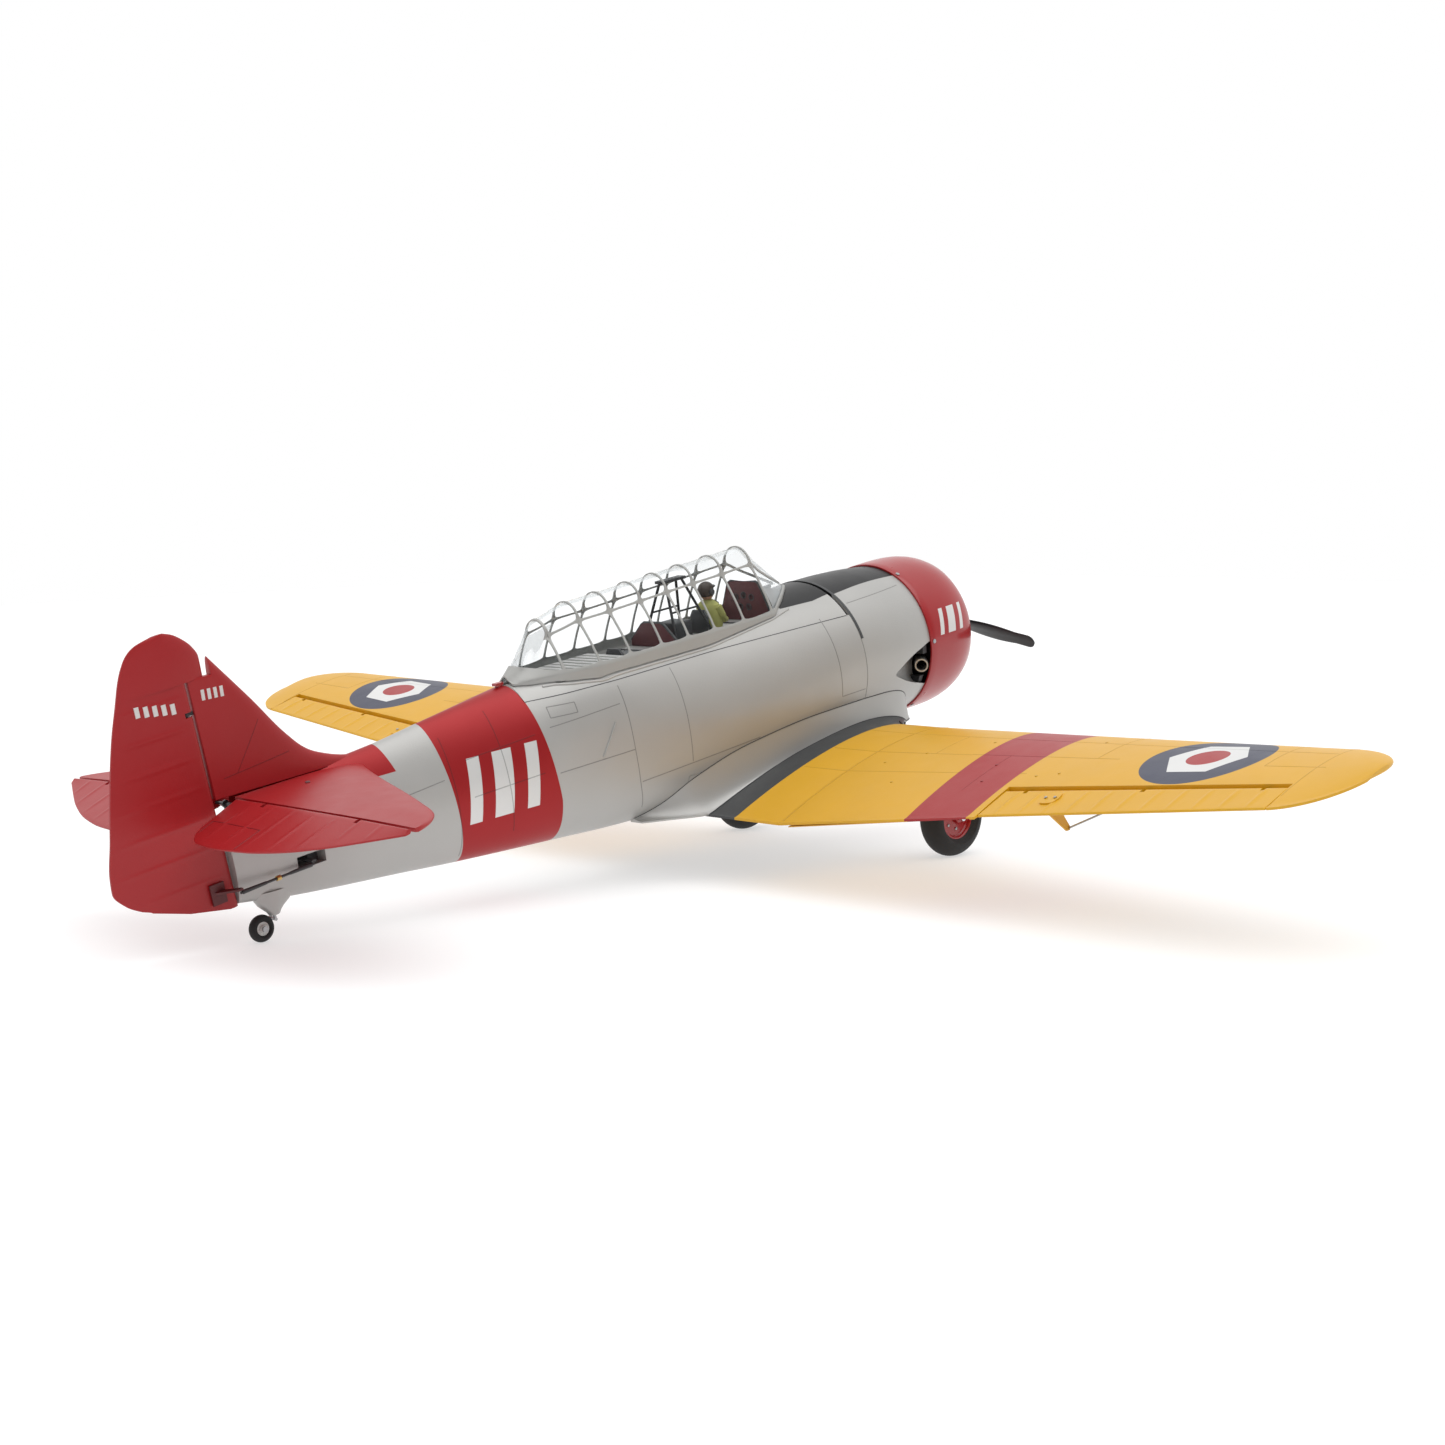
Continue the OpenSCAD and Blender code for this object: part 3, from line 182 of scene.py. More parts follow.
class Mat:
    """A node material with the aeroplane's s, y, z at hand."""

    def __init__(self, name, colour, rough=0.45, metal=0.0, coat=0.0, vary=0.05, vary_scale=18,
                 bump=0.0, bump_scale=900, shine=0.5):
        self.mat = bpy.data.materials.new(name)
        self.mat.use_nodes = True
        self.tree = self.mat.node_tree
        self.bsdf = self.tree.nodes["Principled BSDF"]
        self.bsdf.inputs["Metallic"].default_value = metal
        self.bsdf.inputs["Coat Weight"].default_value = coat
        self.bsdf.inputs["Specular IOR Level"].default_value = shine
        self.coords = self.node("ShaderNodeTexCoord").outputs["Object"]
        self.colour = self.rgb(colour)
        self.rough, self.vary, self.vary_scale = rough, vary, vary_scale
        self.bump, self.bump_scale = bump, bump_scale

    def node(self, kind, **values):
        n = self.tree.nodes.new(kind)
        for k, v in values.items():
            setattr(n, k, v)
        return n

    def rgb(self, c):
        n = self.node("ShaderNodeRGB")
        n.outputs[0].default_value = (*c, 1)
        return n.outputs[0]

    def along(self, direction, origin, scale=1000.0):
        n = self.node("ShaderNodeVectorMath", operation="DOT_PRODUCT")
        self.tree.links.new(self.coords, n.inputs[0])
        n.inputs[1].default_value = tuple(direction)
        v = V(self.tree, n.outputs["Value"])
        return v.op("MULTIPLY_ADD", scale, -scale * float(np.dot(direction, origin)))

    def axes(self):
        return (self.along(-FWD, HUB), self.along((0, 1, 0), HUB), self.along(UP, HUB))

    def noise(self, scale, detail=3.0):
        n = self.node("ShaderNodeTexNoise")
        n.inputs["Scale"].default_value = scale
        n.inputs["Detail"].default_value = detail
        self.tree.links.new(self.coords, n.inputs["Vector"])
        return V(self.tree, n.outputs["Fac"])

    def mix(self, mask, colour):
        """Lays a colour over what is there, where the mask is 1."""
        n = self.node("ShaderNodeMix", data_type="RGBA")
        if isinstance(mask, V):
            self.tree.links.new(mask.socket, n.inputs[0])
        else:
            n.inputs[0].default_value = mask
        self.tree.links.new(self.colour, n.inputs[6])
        self.tree.links.new(self.rgb(colour), n.inputs[7])
        self.colour = n.outputs[2]
        return self

    def done(self):
        """Adds fine variation of colour and gloss, and the surface's own texture."""
        n = self.noise(self.vary_scale)
        dark = n.op("MULTIPLY_ADD", -1.0, 0.75, clamp=True) * (2 * self.vary)
        self.mix(dark, (0.02, 0.02, 0.02))
        self.tree.links.new(self.colour, self.bsdf.inputs["Base Color"])
        gloss = self.noise(self.vary_scale * 3).op("MULTIPLY_ADD", 0.12, self.rough - 0.06)
        self.tree.links.new(gloss.socket, self.bsdf.inputs["Roughness"])
        if self.bump:
            b = self.node("ShaderNodeBump")
            b.inputs["Strength"].default_value = self.bump
            b.inputs["Distance"].default_value = 0.0004
            self.tree.links.new(self.noise(self.bump_scale, 2).socket, b.inputs["Height"])
            self.tree.links.new(b.outputs[0], self.bsdf.inputs["Normal"])
        return self.mat


SILVER = (0.46, 0.455, 0.44)
RED = (0.36, 0.008, 0.011)
YELLOW = (0.70, 0.37, 0.006)
WALK = (0.040, 0.043, 0.046)
WHITE = (0.72, 0.72, 0.71)
NAVY = (0.035, 0.04, 0.075)
INK = (0.012, 0.012, 0.013)
FOAM = dict(rough=0.40, bump=0.22, bump_scale=700)


def bars(m, along, height, centres, low, high, slant, mask):
    """Three plain slanted bars, as a marking with no letters."""
    lean = along + (height * slant)
    marks = None
    for centre, width in centres:
        b = lean.between(centre - width / 2, centre + width / 2)
        marks = b if marks is None else marks.max(b)
    m.mix(marks * height.between(low, high) * mask, WHITE)


def fuselage_paint(name, dull=0.0):
    m = Mat(name, SILVER, metal=0.35, **FOAM)
    s, y, z = m.axes()
    slope_front = s - (z + 44.0).op("MAXIMUM", 0.0) * 0.112
    slope_rear = s - (z + 49.5) * 0.09
    band = slope_front.above(625.0) * slope_rear.below(732.4)
    tail = (s - (z - 24.0) * 0.25).above(786.0) * z.above(23.0)
    m.mix(band.max(tail), RED)
    bars(m, s, z, ((711, 13), (681, 20), (650, 13)), -42, 17, 0.16, y.abs().above(12.0))
    glare = z.above(70.0) * s.between(235.0, 300.0) * (y.abs() - (s - 232.0) * 0.02).below(43.0)
    m.mix(glare, INK)
    if dull:
        m.mix(dull, INK)
    return m.done()


def wing_paint(name, dull=0.0):
    m = Mat(name, YELLOW, **FOAM)
    s, y, z = m.axes()
    y = y.abs()
    m.mix((y - (s - 229.0) * 0.068).above(307.0) * y.below(393.0), RED)
    m.mix(y.below(111.0) * s.below(472.0), WALK)
    dx, dy = s - 346.5, y - 570.0
    r = (dx * dx + dy * dy).op("SQRT")
    m.mix(r.below(59.0), NAVY)
    hexagon = None
    for k in range(3):
        a = math.radians(60 * k)
        side = (dx * math.cos(a) + dy * math.sin(a)).abs()
        hexagon = side if hexagon is None else hexagon.max(side)
    m.mix(hexagon.below(34.0), WHITE)
    m.mix(r.below(19.0), RED)
    if dull:
        m.mix(dull, INK)
    return m.done()


def plain(name, colour, **k):
    return Mat(name, colour, **k).done()


silver_skin = fuselage_paint("silver_paint")
silver_seam = fuselage_paint("silver_seam", 0.42)
yellow_skin = wing_paint("yellow_paint")
yellow_seam = wing_paint("yellow_seam", 0.22)
red_skin = plain("red_paint", RED, **FOAM)
yellow_part = plain("yellow_part", YELLOW, **FOAM)
red_seam = plain("red_seam", (0.20, 0.006, 0.01), **FOAM)
silver_part = plain("silver_part", SILVER, metal=0.35, **FOAM)
frame_grey = plain("frame_grey", (0.40, 0.40, 0.385), metal=0.2, rough=0.42, bump=0.1)
black_part = plain("black_plastic", (0.02, 0.02, 0.022), rough=0.42, bump=0.25, bump_scale=1500)
dark_part = plain("dark_plastic", (0.05, 0.052, 0.055), rough=0.5, bump=0.3, bump_scale=1500)
white_part = plain("white_plastic", (0.7, 0.7, 0.68), rough=0.4, bump=0.1)
steel = plain("steel", (0.45, 0.45, 0.46), metal=1.0, rough=0.3, vary=0.15, vary_scale=60,
              bump=0.15, bump_scale=2500)
brass = plain("brass", (0.62, 0.42, 0.14), metal=1.0, rough=0.32, bump=0.1, bump_scale=2500)
aluminium = plain("aluminium", (0.66, 0.66, 0.67), metal=1.0, rough=0.28, vary=0.1, bump=0.1,
                  bump_scale=2500)
rubber = plain("rubber", (0.012, 0.012, 0.013), rough=0.72, vary=0.3, vary_scale=50, bump=0.4,
               bump_scale=1800)
maroon = plain("maroon_trim", (0.11, 0.026, 0.03), rough=0.6, vary=0.2, vary_scale=200,
               bump=0.35, bump_scale=1200)
carbon = plain("carbon_tube", (0.015, 0.015, 0.017), rough=0.35, coat=0.4, bump=0.2)
wrap = plain("battery_wrap", (0.02, 0.05, 0.2), rough=0.3, coat=0.5, bump=0.2, bump_scale=200)
skin_tone = plain("figure_skin", (0.45, 0.24, 0.15), rough=0.6, bump=0.1)
vest = plain("figure_vest", (0.42, 0.42, 0.13), rough=0.75, vary=0.2, vary_scale=120, bump=0.4)
helmet = plain("figure_helmet", (0.045, 0.03, 0.022), rough=0.5, bump=0.3, bump_scale=1500)

horn_red = plain("horn_red", (0.10, 0.008, 0.01), rough=0.4, bump=0.2)
red_glossy = plain("red_glossy", RED, rough=0.28, coat=0.3, bump=0.08, bump_scale=700)
engine_grey = plain("engine_grey", (0.10, 0.10, 0.105), rough=0.42, metal=0.4, bump=0.3)
exhaust_metal = plain("exhaust_metal", (0.50, 0.49, 0.47), rough=0.35, metal=0.7, vary=0.15, bump=0.2)
floor_paint = Mat("floor_white", (0.48, 0.48, 0.48), rough=0.8, vary=0.0, shine=0.1)
floor_paint.bsdf.inputs["Emission Color"].default_value = (1, 1, 1, 1)
floor_paint.bsdf.inputs["Emission Strength"].default_value = 0.55
floor_white = floor_paint.done()


def clear_plastic():
    """Thin clear sheet: see-through, with a gloss that grows towards its edges."""
    mat = bpy.data.materials.new("clear_plastic")
    mat.use_nodes = True
    tree = mat.node_tree
    tree.nodes.clear()
    out, mix, clear, gloss, edge, thin = (tree.nodes.new("ShaderNode" + kind) for kind in (
        "OutputMaterial", "MixShader", "BsdfTransparent", "BsdfPrincipled", "LayerWeight", "Math"))
    gloss.inputs["Base Color"].default_value = (0.9, 0.93, 0.94, 1)
    gloss.inputs["Roughness"].default_value = 0.06
    clear.inputs["Color"].default_value = (0.985, 0.99, 0.992, 1)
    edge.inputs["Blend"].default_value = 0.12
    thin.operation = "MULTIPLY"
    thin.inputs[1].default_value = 0.45
    for source, target in ((edge.outputs["Fresnel"], thin.inputs[0]), (thin.outputs[0], mix.inputs[0]),
                           (clear.outputs[0], mix.inputs[1]), (gloss.outputs[0], mix.inputs[2]),
                           (mix.outputs[0], out.inputs[0])):
        tree.links.new(source, target)
    return mat


glass = clear_plastic()


# ------------------------------------------------------------------ mesh tools
def mesh_object(name, verts, faces, mats, face_mats=None, angle=38):
    me = bpy.data.meshes.new(name)
    me.from_pydata([tuple(v) for v in verts], [], faces)
    for m in (mats if isinstance(mats, (list, tuple)) else [mats]):
        me.materials.append(m)
    if face_mats is not None:
        me.polygons.foreach_set("material_index", face_mats)
    b = bmesh.new()
    b.from_mesh(me)
    bmesh.ops.remove_doubles(b, verts=b.verts, dist=1e-6)
    bmesh.ops.recalc_face_normals(b, faces=b.faces)
    b.to_mesh(me)
    b.free()
    ob = bpy.data.objects.new(name, me)
    collection.objects.link(ob)
    smooth(ob, angle)
    return ob


def smooth(ob, angle=38):
    me = ob.data
    me.polygons.foreach_set("use_smooth", [True] * len(me.polygons))
    me.set_sharp_from_angle(angle=math.radians(angle))


def loft(name, rings, mats, closed=True, cap=True, **k):
    """A skin over rings (m, n, 3) of points in metres."""
    r = np.asarray(rings)
    m, n = r.shape[:2]
    faces = []
    for i in range(m - 1):
        for j in range(n if closed else n - 1):
            a, b = i * n + j, i * n + (j + 1) % n
            faces.append((a, b, b + n, a + n))
    if cap and closed:
        faces += [tuple(range(n))[::-1], tuple(range((m - 1) * n, m * n))]
    return mesh_object(name, r.reshape(-1, 3), faces, mats, **k)


def lathe(name, profile, m, mats, axis="X", steps=96, **k):
    """Turns a closed profile of (radius, place) about an axis of the frame m."""
    p = np.array(profile, float)
    order = {"X": (2, 0, 1), "Y": (1, 2, 0), "Z": (0, 1, 2)}[axis]
    rings = []
    for a in circle(steps):
        q = np.stack([p[:, 0] * math.cos(a), p[:, 0] * math.sin(a), p[:, 1]], 1)
        rings.append(q[:, list(order)])
    r = put(m, np.array(rings))
    n = len(p)
    faces = [(i * n + j, i * n + (j + 1) % n, ((i + 1) % steps) * n + (j + 1) % n,
              ((i + 1) % steps) * n + j) for i in range(steps) for j in range(n)]
    return mesh_object(name, r.reshape(-1, 3), faces, mats, **k)


def block(name, low, high, m, mats, bevel=0.0, **k):
    lo, hi = np.minimum(low, high), np.maximum(low, high)
    c = np.array([[x, y, z] for x in (lo[0], hi[0]) for y in (lo[1], hi[1]) for z in (lo[2], hi[2])])
    faces = [(0, 1, 3, 2), (4, 6, 7, 5), (0, 4, 5, 1), (2, 3, 7, 6), (0, 2, 6, 4), (1, 5, 7, 3)]
    ob = mesh_object(name, put(m, c), faces, mats, **k)
    if bevel:
        round_edges(ob, bevel)
    return ob


def round_edges(ob, width, segments=3, angle=30):
    b = bmesh.new()
    b.from_mesh(ob.data)
    edges = [e for e in b.edges if len(e.link_faces) == 2
             and e.calc_face_angle(0) > math.radians(angle)]
    bmesh.ops.bevel(b, geom=edges, offset=width / 1000, segments=segments, profile=0.5,
                    affect="EDGES", clamp_overlap=True)
    b.to_mesh(ob.data)
    b.free()
    smooth(ob)
    return ob


def tube(name, path, radius, m, mats, steps=14, **k):
    """A round bar along points in the frame m; radius may change from point to point."""
    p = np.array(path, float)
    rad = np.broadcast_to(np.asarray(radius, float), (len(p),))
    t = np.gradient(p, axis=0)
    t /= np.linalg.norm(t, axis=1)[:, None]
    ref = np.array([0.0, 0, 1]) if abs(t[0][2]) < 0.9 else np.array([0.0, 1, 0])
    rings = []
    for i in range(len(p)):
        u = np.cross(t[i], ref)
        u /= np.linalg.norm(u)
        v = np.cross(t[i], u)
        a = circle(steps)[:, None]
        rings.append(p[i] + rad[i] * (np.cos(a) * u + np.sin(a) * v))
    return loft(name, put(m, np.array(rings)), mats, **k)


def carve(ob, kind, *tools):
    """Cuts, joins or keeps the overlap of ob with the tools, and drops the tools."""
    for t in tools:
        mod = ob.modifiers.new("cut", "BOOLEAN")
        mod.operation, mod.object, mod.solver = kind, t, "EXACT"
    bpy.context.view_layer.update()
    deps = bpy.context.evaluated_depsgraph_get()
    me = bpy.data.meshes.new_from_object(ob.evaluated_get(deps))
    ob.modifiers.clear()
    ob.data = me
    for t in tools:
        bpy.data.objects.remove(t)
    smooth(ob)
    return ob


def join(name, parts):
    """One object out of several, each keeping its material."""
    mats, verts, faces, index = [], [], [], []
    for o in parts:
        base, local = len(verts), []
        for mat in o.data.materials:
            if mat not in mats:
                mats.append(mat)
            local.append(mats.index(mat))
        verts += [tuple(v.co) for v in o.data.vertices]
        for p in o.data.polygons:
            faces.append(tuple(base + v for v in p.vertices))
            index.append(local[p.material_index] if local else 0)
        bpy.data.objects.remove(o)
    me = bpy.data.meshes.new(name)
    me.from_pydata(verts, [], faces)
    for mat in mats:
        me.materials.append(mat)
    me.polygons.foreach_set("material_index", index)
    ob = bpy.data.objects.new(name, me)
    collection.objects.link(ob)
    smooth(ob)
    return ob


def part(ob, body, slot, *nodes):
    """Sets a piece on the body it rides and hides the CAD nodes it stands for; its slot is not used."""
    ob.name = ob.name.split(".")[0]
    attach(ob, body)
    if nodes:
        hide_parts(*nodes)
    return ob


def ribbon(path, normal, width, m, mats, proud=0.16, deep=0.5):
    """A thin seam along points on a surface: a flat bar with its back sunk in the skin."""
    p = np.array(path, float)
    n = np.array(normal, float)
    n = n / np.linalg.norm(n, axis=1)[:, None]
    t = np.gradient(p, axis=0)
    side = np.cross(t, n)
    side /= np.linalg.norm(side, axis=1)[:, None]
    w = width / 2
    rings = np.stack([p - side * w - n * deep, p - side * w + n * proud * 0.4,
                      p - side * w * 0.4 + n * proud, p + side * w * 0.4 + n * proud,
                      p + side * w + n * proud * 0.4, p + side * w - n * deep], 1)
    return loft("seam", put(m, rings), mats)


# ------------------------------------------------------------------ fuselage
FRONT, TAIL = 232, 970    # the fuselage's two ends
# Half width, top, bottom, widest height, and the squareness of its upper and lower halves
HALF = table([[232, 84.5], [330, 79], [430, 71], [530, 61], [625, 50], [730, 35.5], [790, 29.5],
              [850, 23.5], [905, 17], [953, 10], [970, 9]])
TOP = table([[232, 84.5], [330, 80], [430, 76], [530, 72], [625, 67], [730, 55.5], [790, 48],
             [850, 43.5], [905, 40], [953, 38], [970, 37]])
BOTTOM = table([[232, -84.5], [330, -95], [430, -99], [530, -95.5], [625, -88], [730, -79],
                [790, -72.5], [850, -66.5], [905, -60], [953, -52], [970, -50]])
WIDEST = table([[232, 0], [330, -12], [430, -18], [530, -22], [625, -25], [730, -22], [970, -12]])
UPPER = table([[232, 2], [330, 1.9], [400, 1.85], [450, 2.05], [500, 2.4], [550, 2.8], [590, 2.8],
               [640, 2], [730, 1.75], [850, 1.9], [970, 2]])
LOWER = table([[232, 2], [330, 2.3], [530, 2.5], [730, 2.4], [850, 2.2], [970, 2]])


def body_ring(s, inset=0.0, n=112):
    a = circle(n)
    c, d = np.cos(a), np.sin(a)
    e = 2 / np.where(d > 0, UPPER(s), LOWER(s))
    mid = WIDEST(s)
    reach = np.where(d > 0, TOP(s) - mid, mid - BOTTOM(s)) - inset
    return np.stack([np.full(n, -s), -(HALF(s) - inset) * np.sign(c) * np.abs(c) ** e,
                     mid + reach * np.sign(d) * np.abs(d) ** e], 1)


def body_lobe(s, z):
    """The widest line's height, and the reach and power of the half that z is in."""
    mid = WIDEST(s)
    up = z > mid
    return mid, np.where(up, TOP(s) - mid, mid - BOTTOM(s)), np.where(up, UPPER(s), LOWER(s))


def body_f(x, y, z):
    s = -x
    mid, reach, p = body_lobe(s, z)
    return (np.abs(y) / HALF(s)) ** p + (np.abs(z - mid) / reach) ** p


def body_normal(p, h=0.05):
    g = [body_f(*(p + np.eye(3)[i] * h).T) - body_f(*(p - np.eye(3)[i] * h).T) for i in range(3)]
    return np.stack(g, 1)


def body_y(s, z):
    """Half width of the fuselage skin at a station and height."""
    s, z = np.broadcast_arrays(np.asarray(s, float), np.asarray(z, float))
    mid, reach, p = body_lobe(s, z)
    return HALF(s) * np.clip(1 - (np.abs(z - mid) / reach) ** p, 0, 1) ** (1 / p)


def body_z(s, y):
    """Height of the fuselage's upper skin at a station, y from the middle."""
    mid = WIDEST(s)
    return mid + (TOP(s) - mid) * np.clip(1 - (np.abs(y) / HALF(s)) ** UPPER(s), 0, 1) ** (1 / UPPER(s))


def body_loft(name, lo, hi, inset, mats, count):
    return loft(name, put(AIR, [body_ring(s, inset) for s in np.linspace(lo, hi, count)]), mats)


def cutter(s, y, z, m=AIR):
    return block("cutter", (-s[1], y[0], z[0]), (-s[0], y[1], z[1]), m, silver_part)


RUDDER_AIR = AIR @ RUDDER
fuselage = body_loft("fuselage_skin", FRONT, TAIL, 0, silver_skin, 100)
carve(fuselage, "DIFFERENCE", body_loft("inner", 231, 850, 6, dark_part, 60),
      cutter((200, 636.6), (-90, 90), (50.6, 120)), cutter((200, 476), (-90, 90), (-130, -58)),
      block("cutter", (-150, -40, -30), (6.1, 40, 210), RUDDER_AIR, silver_part),
      cutter((845, 975), (-6.5, 6.5), (8, 60)),
      block("cutter", (62, -42, 12.6), (89, 2.6, 24), RUDDER_AIR, silver_part))
part(fuselage, "airframe", "silver_foam", "fuselage")

hatch = body_loft("hatch_skin", FRONT, 680, 0, silver_skin, 70)
carve(hatch, "INTERSECT", cutter((235, 636), (-90, 90), (51, 120)))
carve(hatch, "DIFFERENCE", cutter((298, 598), (-35, 35), (60, 120)),
      cutter((628, 640), (-2.6, 2.6), (62.5, 80)))
part(hatch, "hatch", "silver_foam", "hatch")

seams = []


def body_seam(stations, heights):
    """A panel line on both sides of the fuselage."""
    s, z = np.array(stations, float), np.array(heights, float)
    for side in (1, -1):
        p = np.stack([-s, side * body_y(s, z), z], 1)
        seams.append(ribbon(p, body_normal(p), 1.0, AIR, silver_seam))


def run(a, b, n=24):
    return np.linspace(a, b, n)


body_seam(table([[-76, 529], [-44, 536], [42, 540]])(run(-76, 46, 40)), run(-76, 46, 40))
body_seam(np.full(30, 471.5), run(-44, 48, 30))
body_seam(np.full(24, 269.0), run(-26, 54))
body_seam(run(234, 269, 8), np.full(8, -26.0))
body_seam(run(545, 624), run(30, 25))
body_seam(run(538, 624), run(-16, -18))
body_seam(run(385, 533), run(-40.5, -49))
body_seam(run(640, 716), run(22, 16))
body_seam(run(640, 716), run(-14, -18))
body_seam(np.full(40, 678.0), run(-60, 52, 40))
body_seam(np.full(30, 733.0), run(-70, 40, 30))
body_seam(run(742, 784), run(4, 0))
DOOR = (592, 620)    # a small access door
body_seam(run(*DOOR, 8), run(42, 43, 8))
body_seam(run(*DOOR, 8), run(32.5, 33, 8))
body_seam(np.full(8, DOOR[0]), run(32.5, 42, 8))
body_seam(np.full(8, DOOR[1]), run(33, 43, 8))
part(join("fuselage_panel_lines", seams), "airframe", "silver_foam")
# Boarding handle: a thin raised rod on each side
handles = []
for side in (1, -1):
    s, z = run(575, 555, 8), run(-14.4, 14.6, 8)
    p = np.stack([-s, side * (body_y(s, z) + 0.5), z], 1)
    handles.append(tube("handle", p, 0.75, AIR, frame_grey))
part(join("boarding_handles", handles), "airframe", "silver_foam")
seams = []
for side in (1, -1):
    s = run(292, 612, 60)
    y = side * np.interp(s, [292, 320, 550, 588, 612], [41, 44.2, 44.2, 36, 27])
    p = np.stack([-s, y, body_z(s, y)], 1)
    seams.append(ribbon(p, body_normal(p), 2.4, AIR, silver_skin, 1.1))
part(join("canopy_base_bead", seams), "hatch", "silver_foam")
# Dark line all round the foot of the hatch
seams = []
for side in (1, -1):
    s = run(236, 636, 70)
    z = np.full(70, 50.8)
    p = np.stack([-s, side * body_y(s, z), z], 1)
    seams.append(ribbon(p, body_normal(p), 0.9, AIR, dark_part, 0.1))
part(join("hatch_parting_line", seams), "airframe", "silver_foam")


# ------------------------------------------------------------------ nose
def nose_paint(name, base, glare=True):
    glossy = dict(rough=0.3, coat=0.3, bump=0.06, bump_scale=700)
    m = Mat(name, base, metal=0.35 if glare else 0.0, **(FOAM if glare else glossy))
    s, y, z = m.axes()
    if glare:
        m.mix((y.abs() - (s - 145.0) * 0.08).below(39.0) * z.above(20.0), INK)
    else:
        bars(m, s, z, ((108, 6), (92, 12), (75, 6)), 4, 31, 0.22, y.abs().above(60.0))
    return m.done()


nose_skin = nose_paint("nose_paint", SILVER)
ring_skin = nose_paint("cowl_ring_paint", RED, False)
NOSE_RADIUS = table([[126, 80], [150, 82.2], [175, 83.8], [200, 84.5], [232, 84.5]])
outer = [(float(NOSE_RADIUS(s)), -s) for s in run(126, 231.4, 24)]
inner = [(float(NOSE_RADIUS(s)) - 2.4, -s) for s in run(231.4, 126, 24)]
nose = lathe("nose_cowl_shell", outer + inner, AIR, nose_skin, steps=144)


def plate(name, outline, depth, m, mats):
    """A flat plate: an outline of (x, z) extruded along y from depth[0] to depth[1]."""
    o = np.array(outline, float)
    rings = [np.stack([o[:, 0], np.full(len(o), d), o[:, 1]], 1) for d in depth]
    return loft(name, put(m, np.array(rings)), mats)


def closed_curve(points, n=8):
    """Rounds a coarse closed outline with a periodic spline."""
    p = np.array(points, float)
    out = []
    for i in range(len(p)):
        a, b, c, d = p[i - 1], p[i], p[(i + 1) % len(p)], p[(i + 2) % len(p)]
        for t in np.linspace(0, 1, n, endpoint=False):
            out.append(0.5 * (2 * b + (c - a) * t + (2 * a - 5 * b + 4 * c - d) * t * t
                              + (3 * b - a - 3 * c + d) * t ** 3))
    return np.array(out)


# The teardrop opening round the exhaust
tear = [(-186, -22), (-175, -15), (-160, -8.5), (-142, -3), (-120, 0), (-104, -22), (-120, -44),
        (-142, -41), (-160, -35.5), (-175, -29)]
tear = closed_curve(tear)
carve(nose, "DIFFERENCE", plate("cutter", tear, (-100, -50), AIR, silver_part))
part(nose, "airframe", "silver_foam", "nose_cowl")
# The scoop behind the exhaust: a hollow that sinks from the skin towards the cowl's rim
ramp = []
for u in run(0, 1, 18):
    s = 186 - 59.5 * u
    half = float(np.interp(s, [127, 142, 160, 175, 186], [23, 19.6, 14, 7.6, 0.6]))
    deep = 1.5 + 22 * u ** 0.8
    ring = []
    for v in run(-1, 1, 17):
        z = -22 + half * 1.02 * v
        y = -math.sqrt(max(float(NOSE_RADIUS(s)) ** 2 - z * z, 0)) + 1.2
        ring.append((-s, y + deep * math.sqrt(max(0, 1 - v * v)), z))
    back = [(p[0], p[1] + 1.4, p[2]) for p in ring[::-1]]
    ramp.append(ring + back)
part(loft("exhaust_scoop", put(AIR, ramp), silver_part), "airframe", "silver_foam")

seams = []
for side in (1, -1):
    a = np.radians(run(0, 72, 30)) * side
    p = np.stack([np.full(30, -229.6), 84.6 * np.sin(a), 84.6 * np.cos(a)], 1)
    # The wide dark strip round the top of the nose's rear rim is painted shade: it stands for the shadowed
    # slot where the hatch meets the nose
    seams.append(ribbon(p, p * [0, 1, 1], 3.4, AIR, dark_part, 0.35))
    a = np.radians(run(72, 118, 20)) * side
    p = np.stack([np.full(20, -231.7), 84.5 * np.sin(a), 84.5 * np.cos(a)], 1)
    seams.append(ribbon(p, p * [0, 1, 1], 1.0, AIR, silver_seam))
    s = run(137, 224, 16)
    z = run(62.7, 61, 16)
    p = np.stack([-s, side * np.sqrt(NOSE_RADIUS(s) ** 2 - z * z), z], 1)
    seams.append(ribbon(p, p * [0, 1, 1], 0.9, AIR, silver_seam))
part(join("nose_panel_lines_and_slot_shade", seams), "airframe", "silver_foam")

baffle = lathe("cowl_baffle_disc", [(40, -112), (79, -112), (79, -113.5), (40, -113.5)], AIR, black_part)
part(baffle, "airframe", "black_plastic")
ring_out = [(62.5, 54), (63.4, 49.5), (65.4, 47), (68, 46.2), (71, 47.6), (74, 51), (77, 57.5),
            (79.4, 65), (81.2, 74), (82.2, 84), (82.5, 94), (82.5, 106), (82.3, 116), (82, 126)]
ring_in = [(79.6, 126), (80.1, 106), (80.1, 94), (79.6, 82), (78, 72), (75.5, 63), (72, 55), (68, 51)]
cowl = lathe("cowl_ring_shell", [(r, -s) for r, s in ring_out + ring_in], AIR, ring_skin, steps=160)
round_edges(cowl, 0.5, 2, 50)
part(cowl, "airframe", "red_plastic", "cowl_ring")


# ------------------------------------------------------------------ wing
def thickness(x):
    """Half thickness of the wing section along its chord, for a thickness of 1."""
    return 5 * (0.2969 * np.sqrt(x) - 0.126 * x - 0.3516 * x ** 2 + 0.2843 * x ** 3 - 0.1015 * x ** 4)


CHORD = (1 - np.cos(np.linspace(0, math.pi, 34))) / 2
TIP_Y, SPAN = 690.0, 744.0


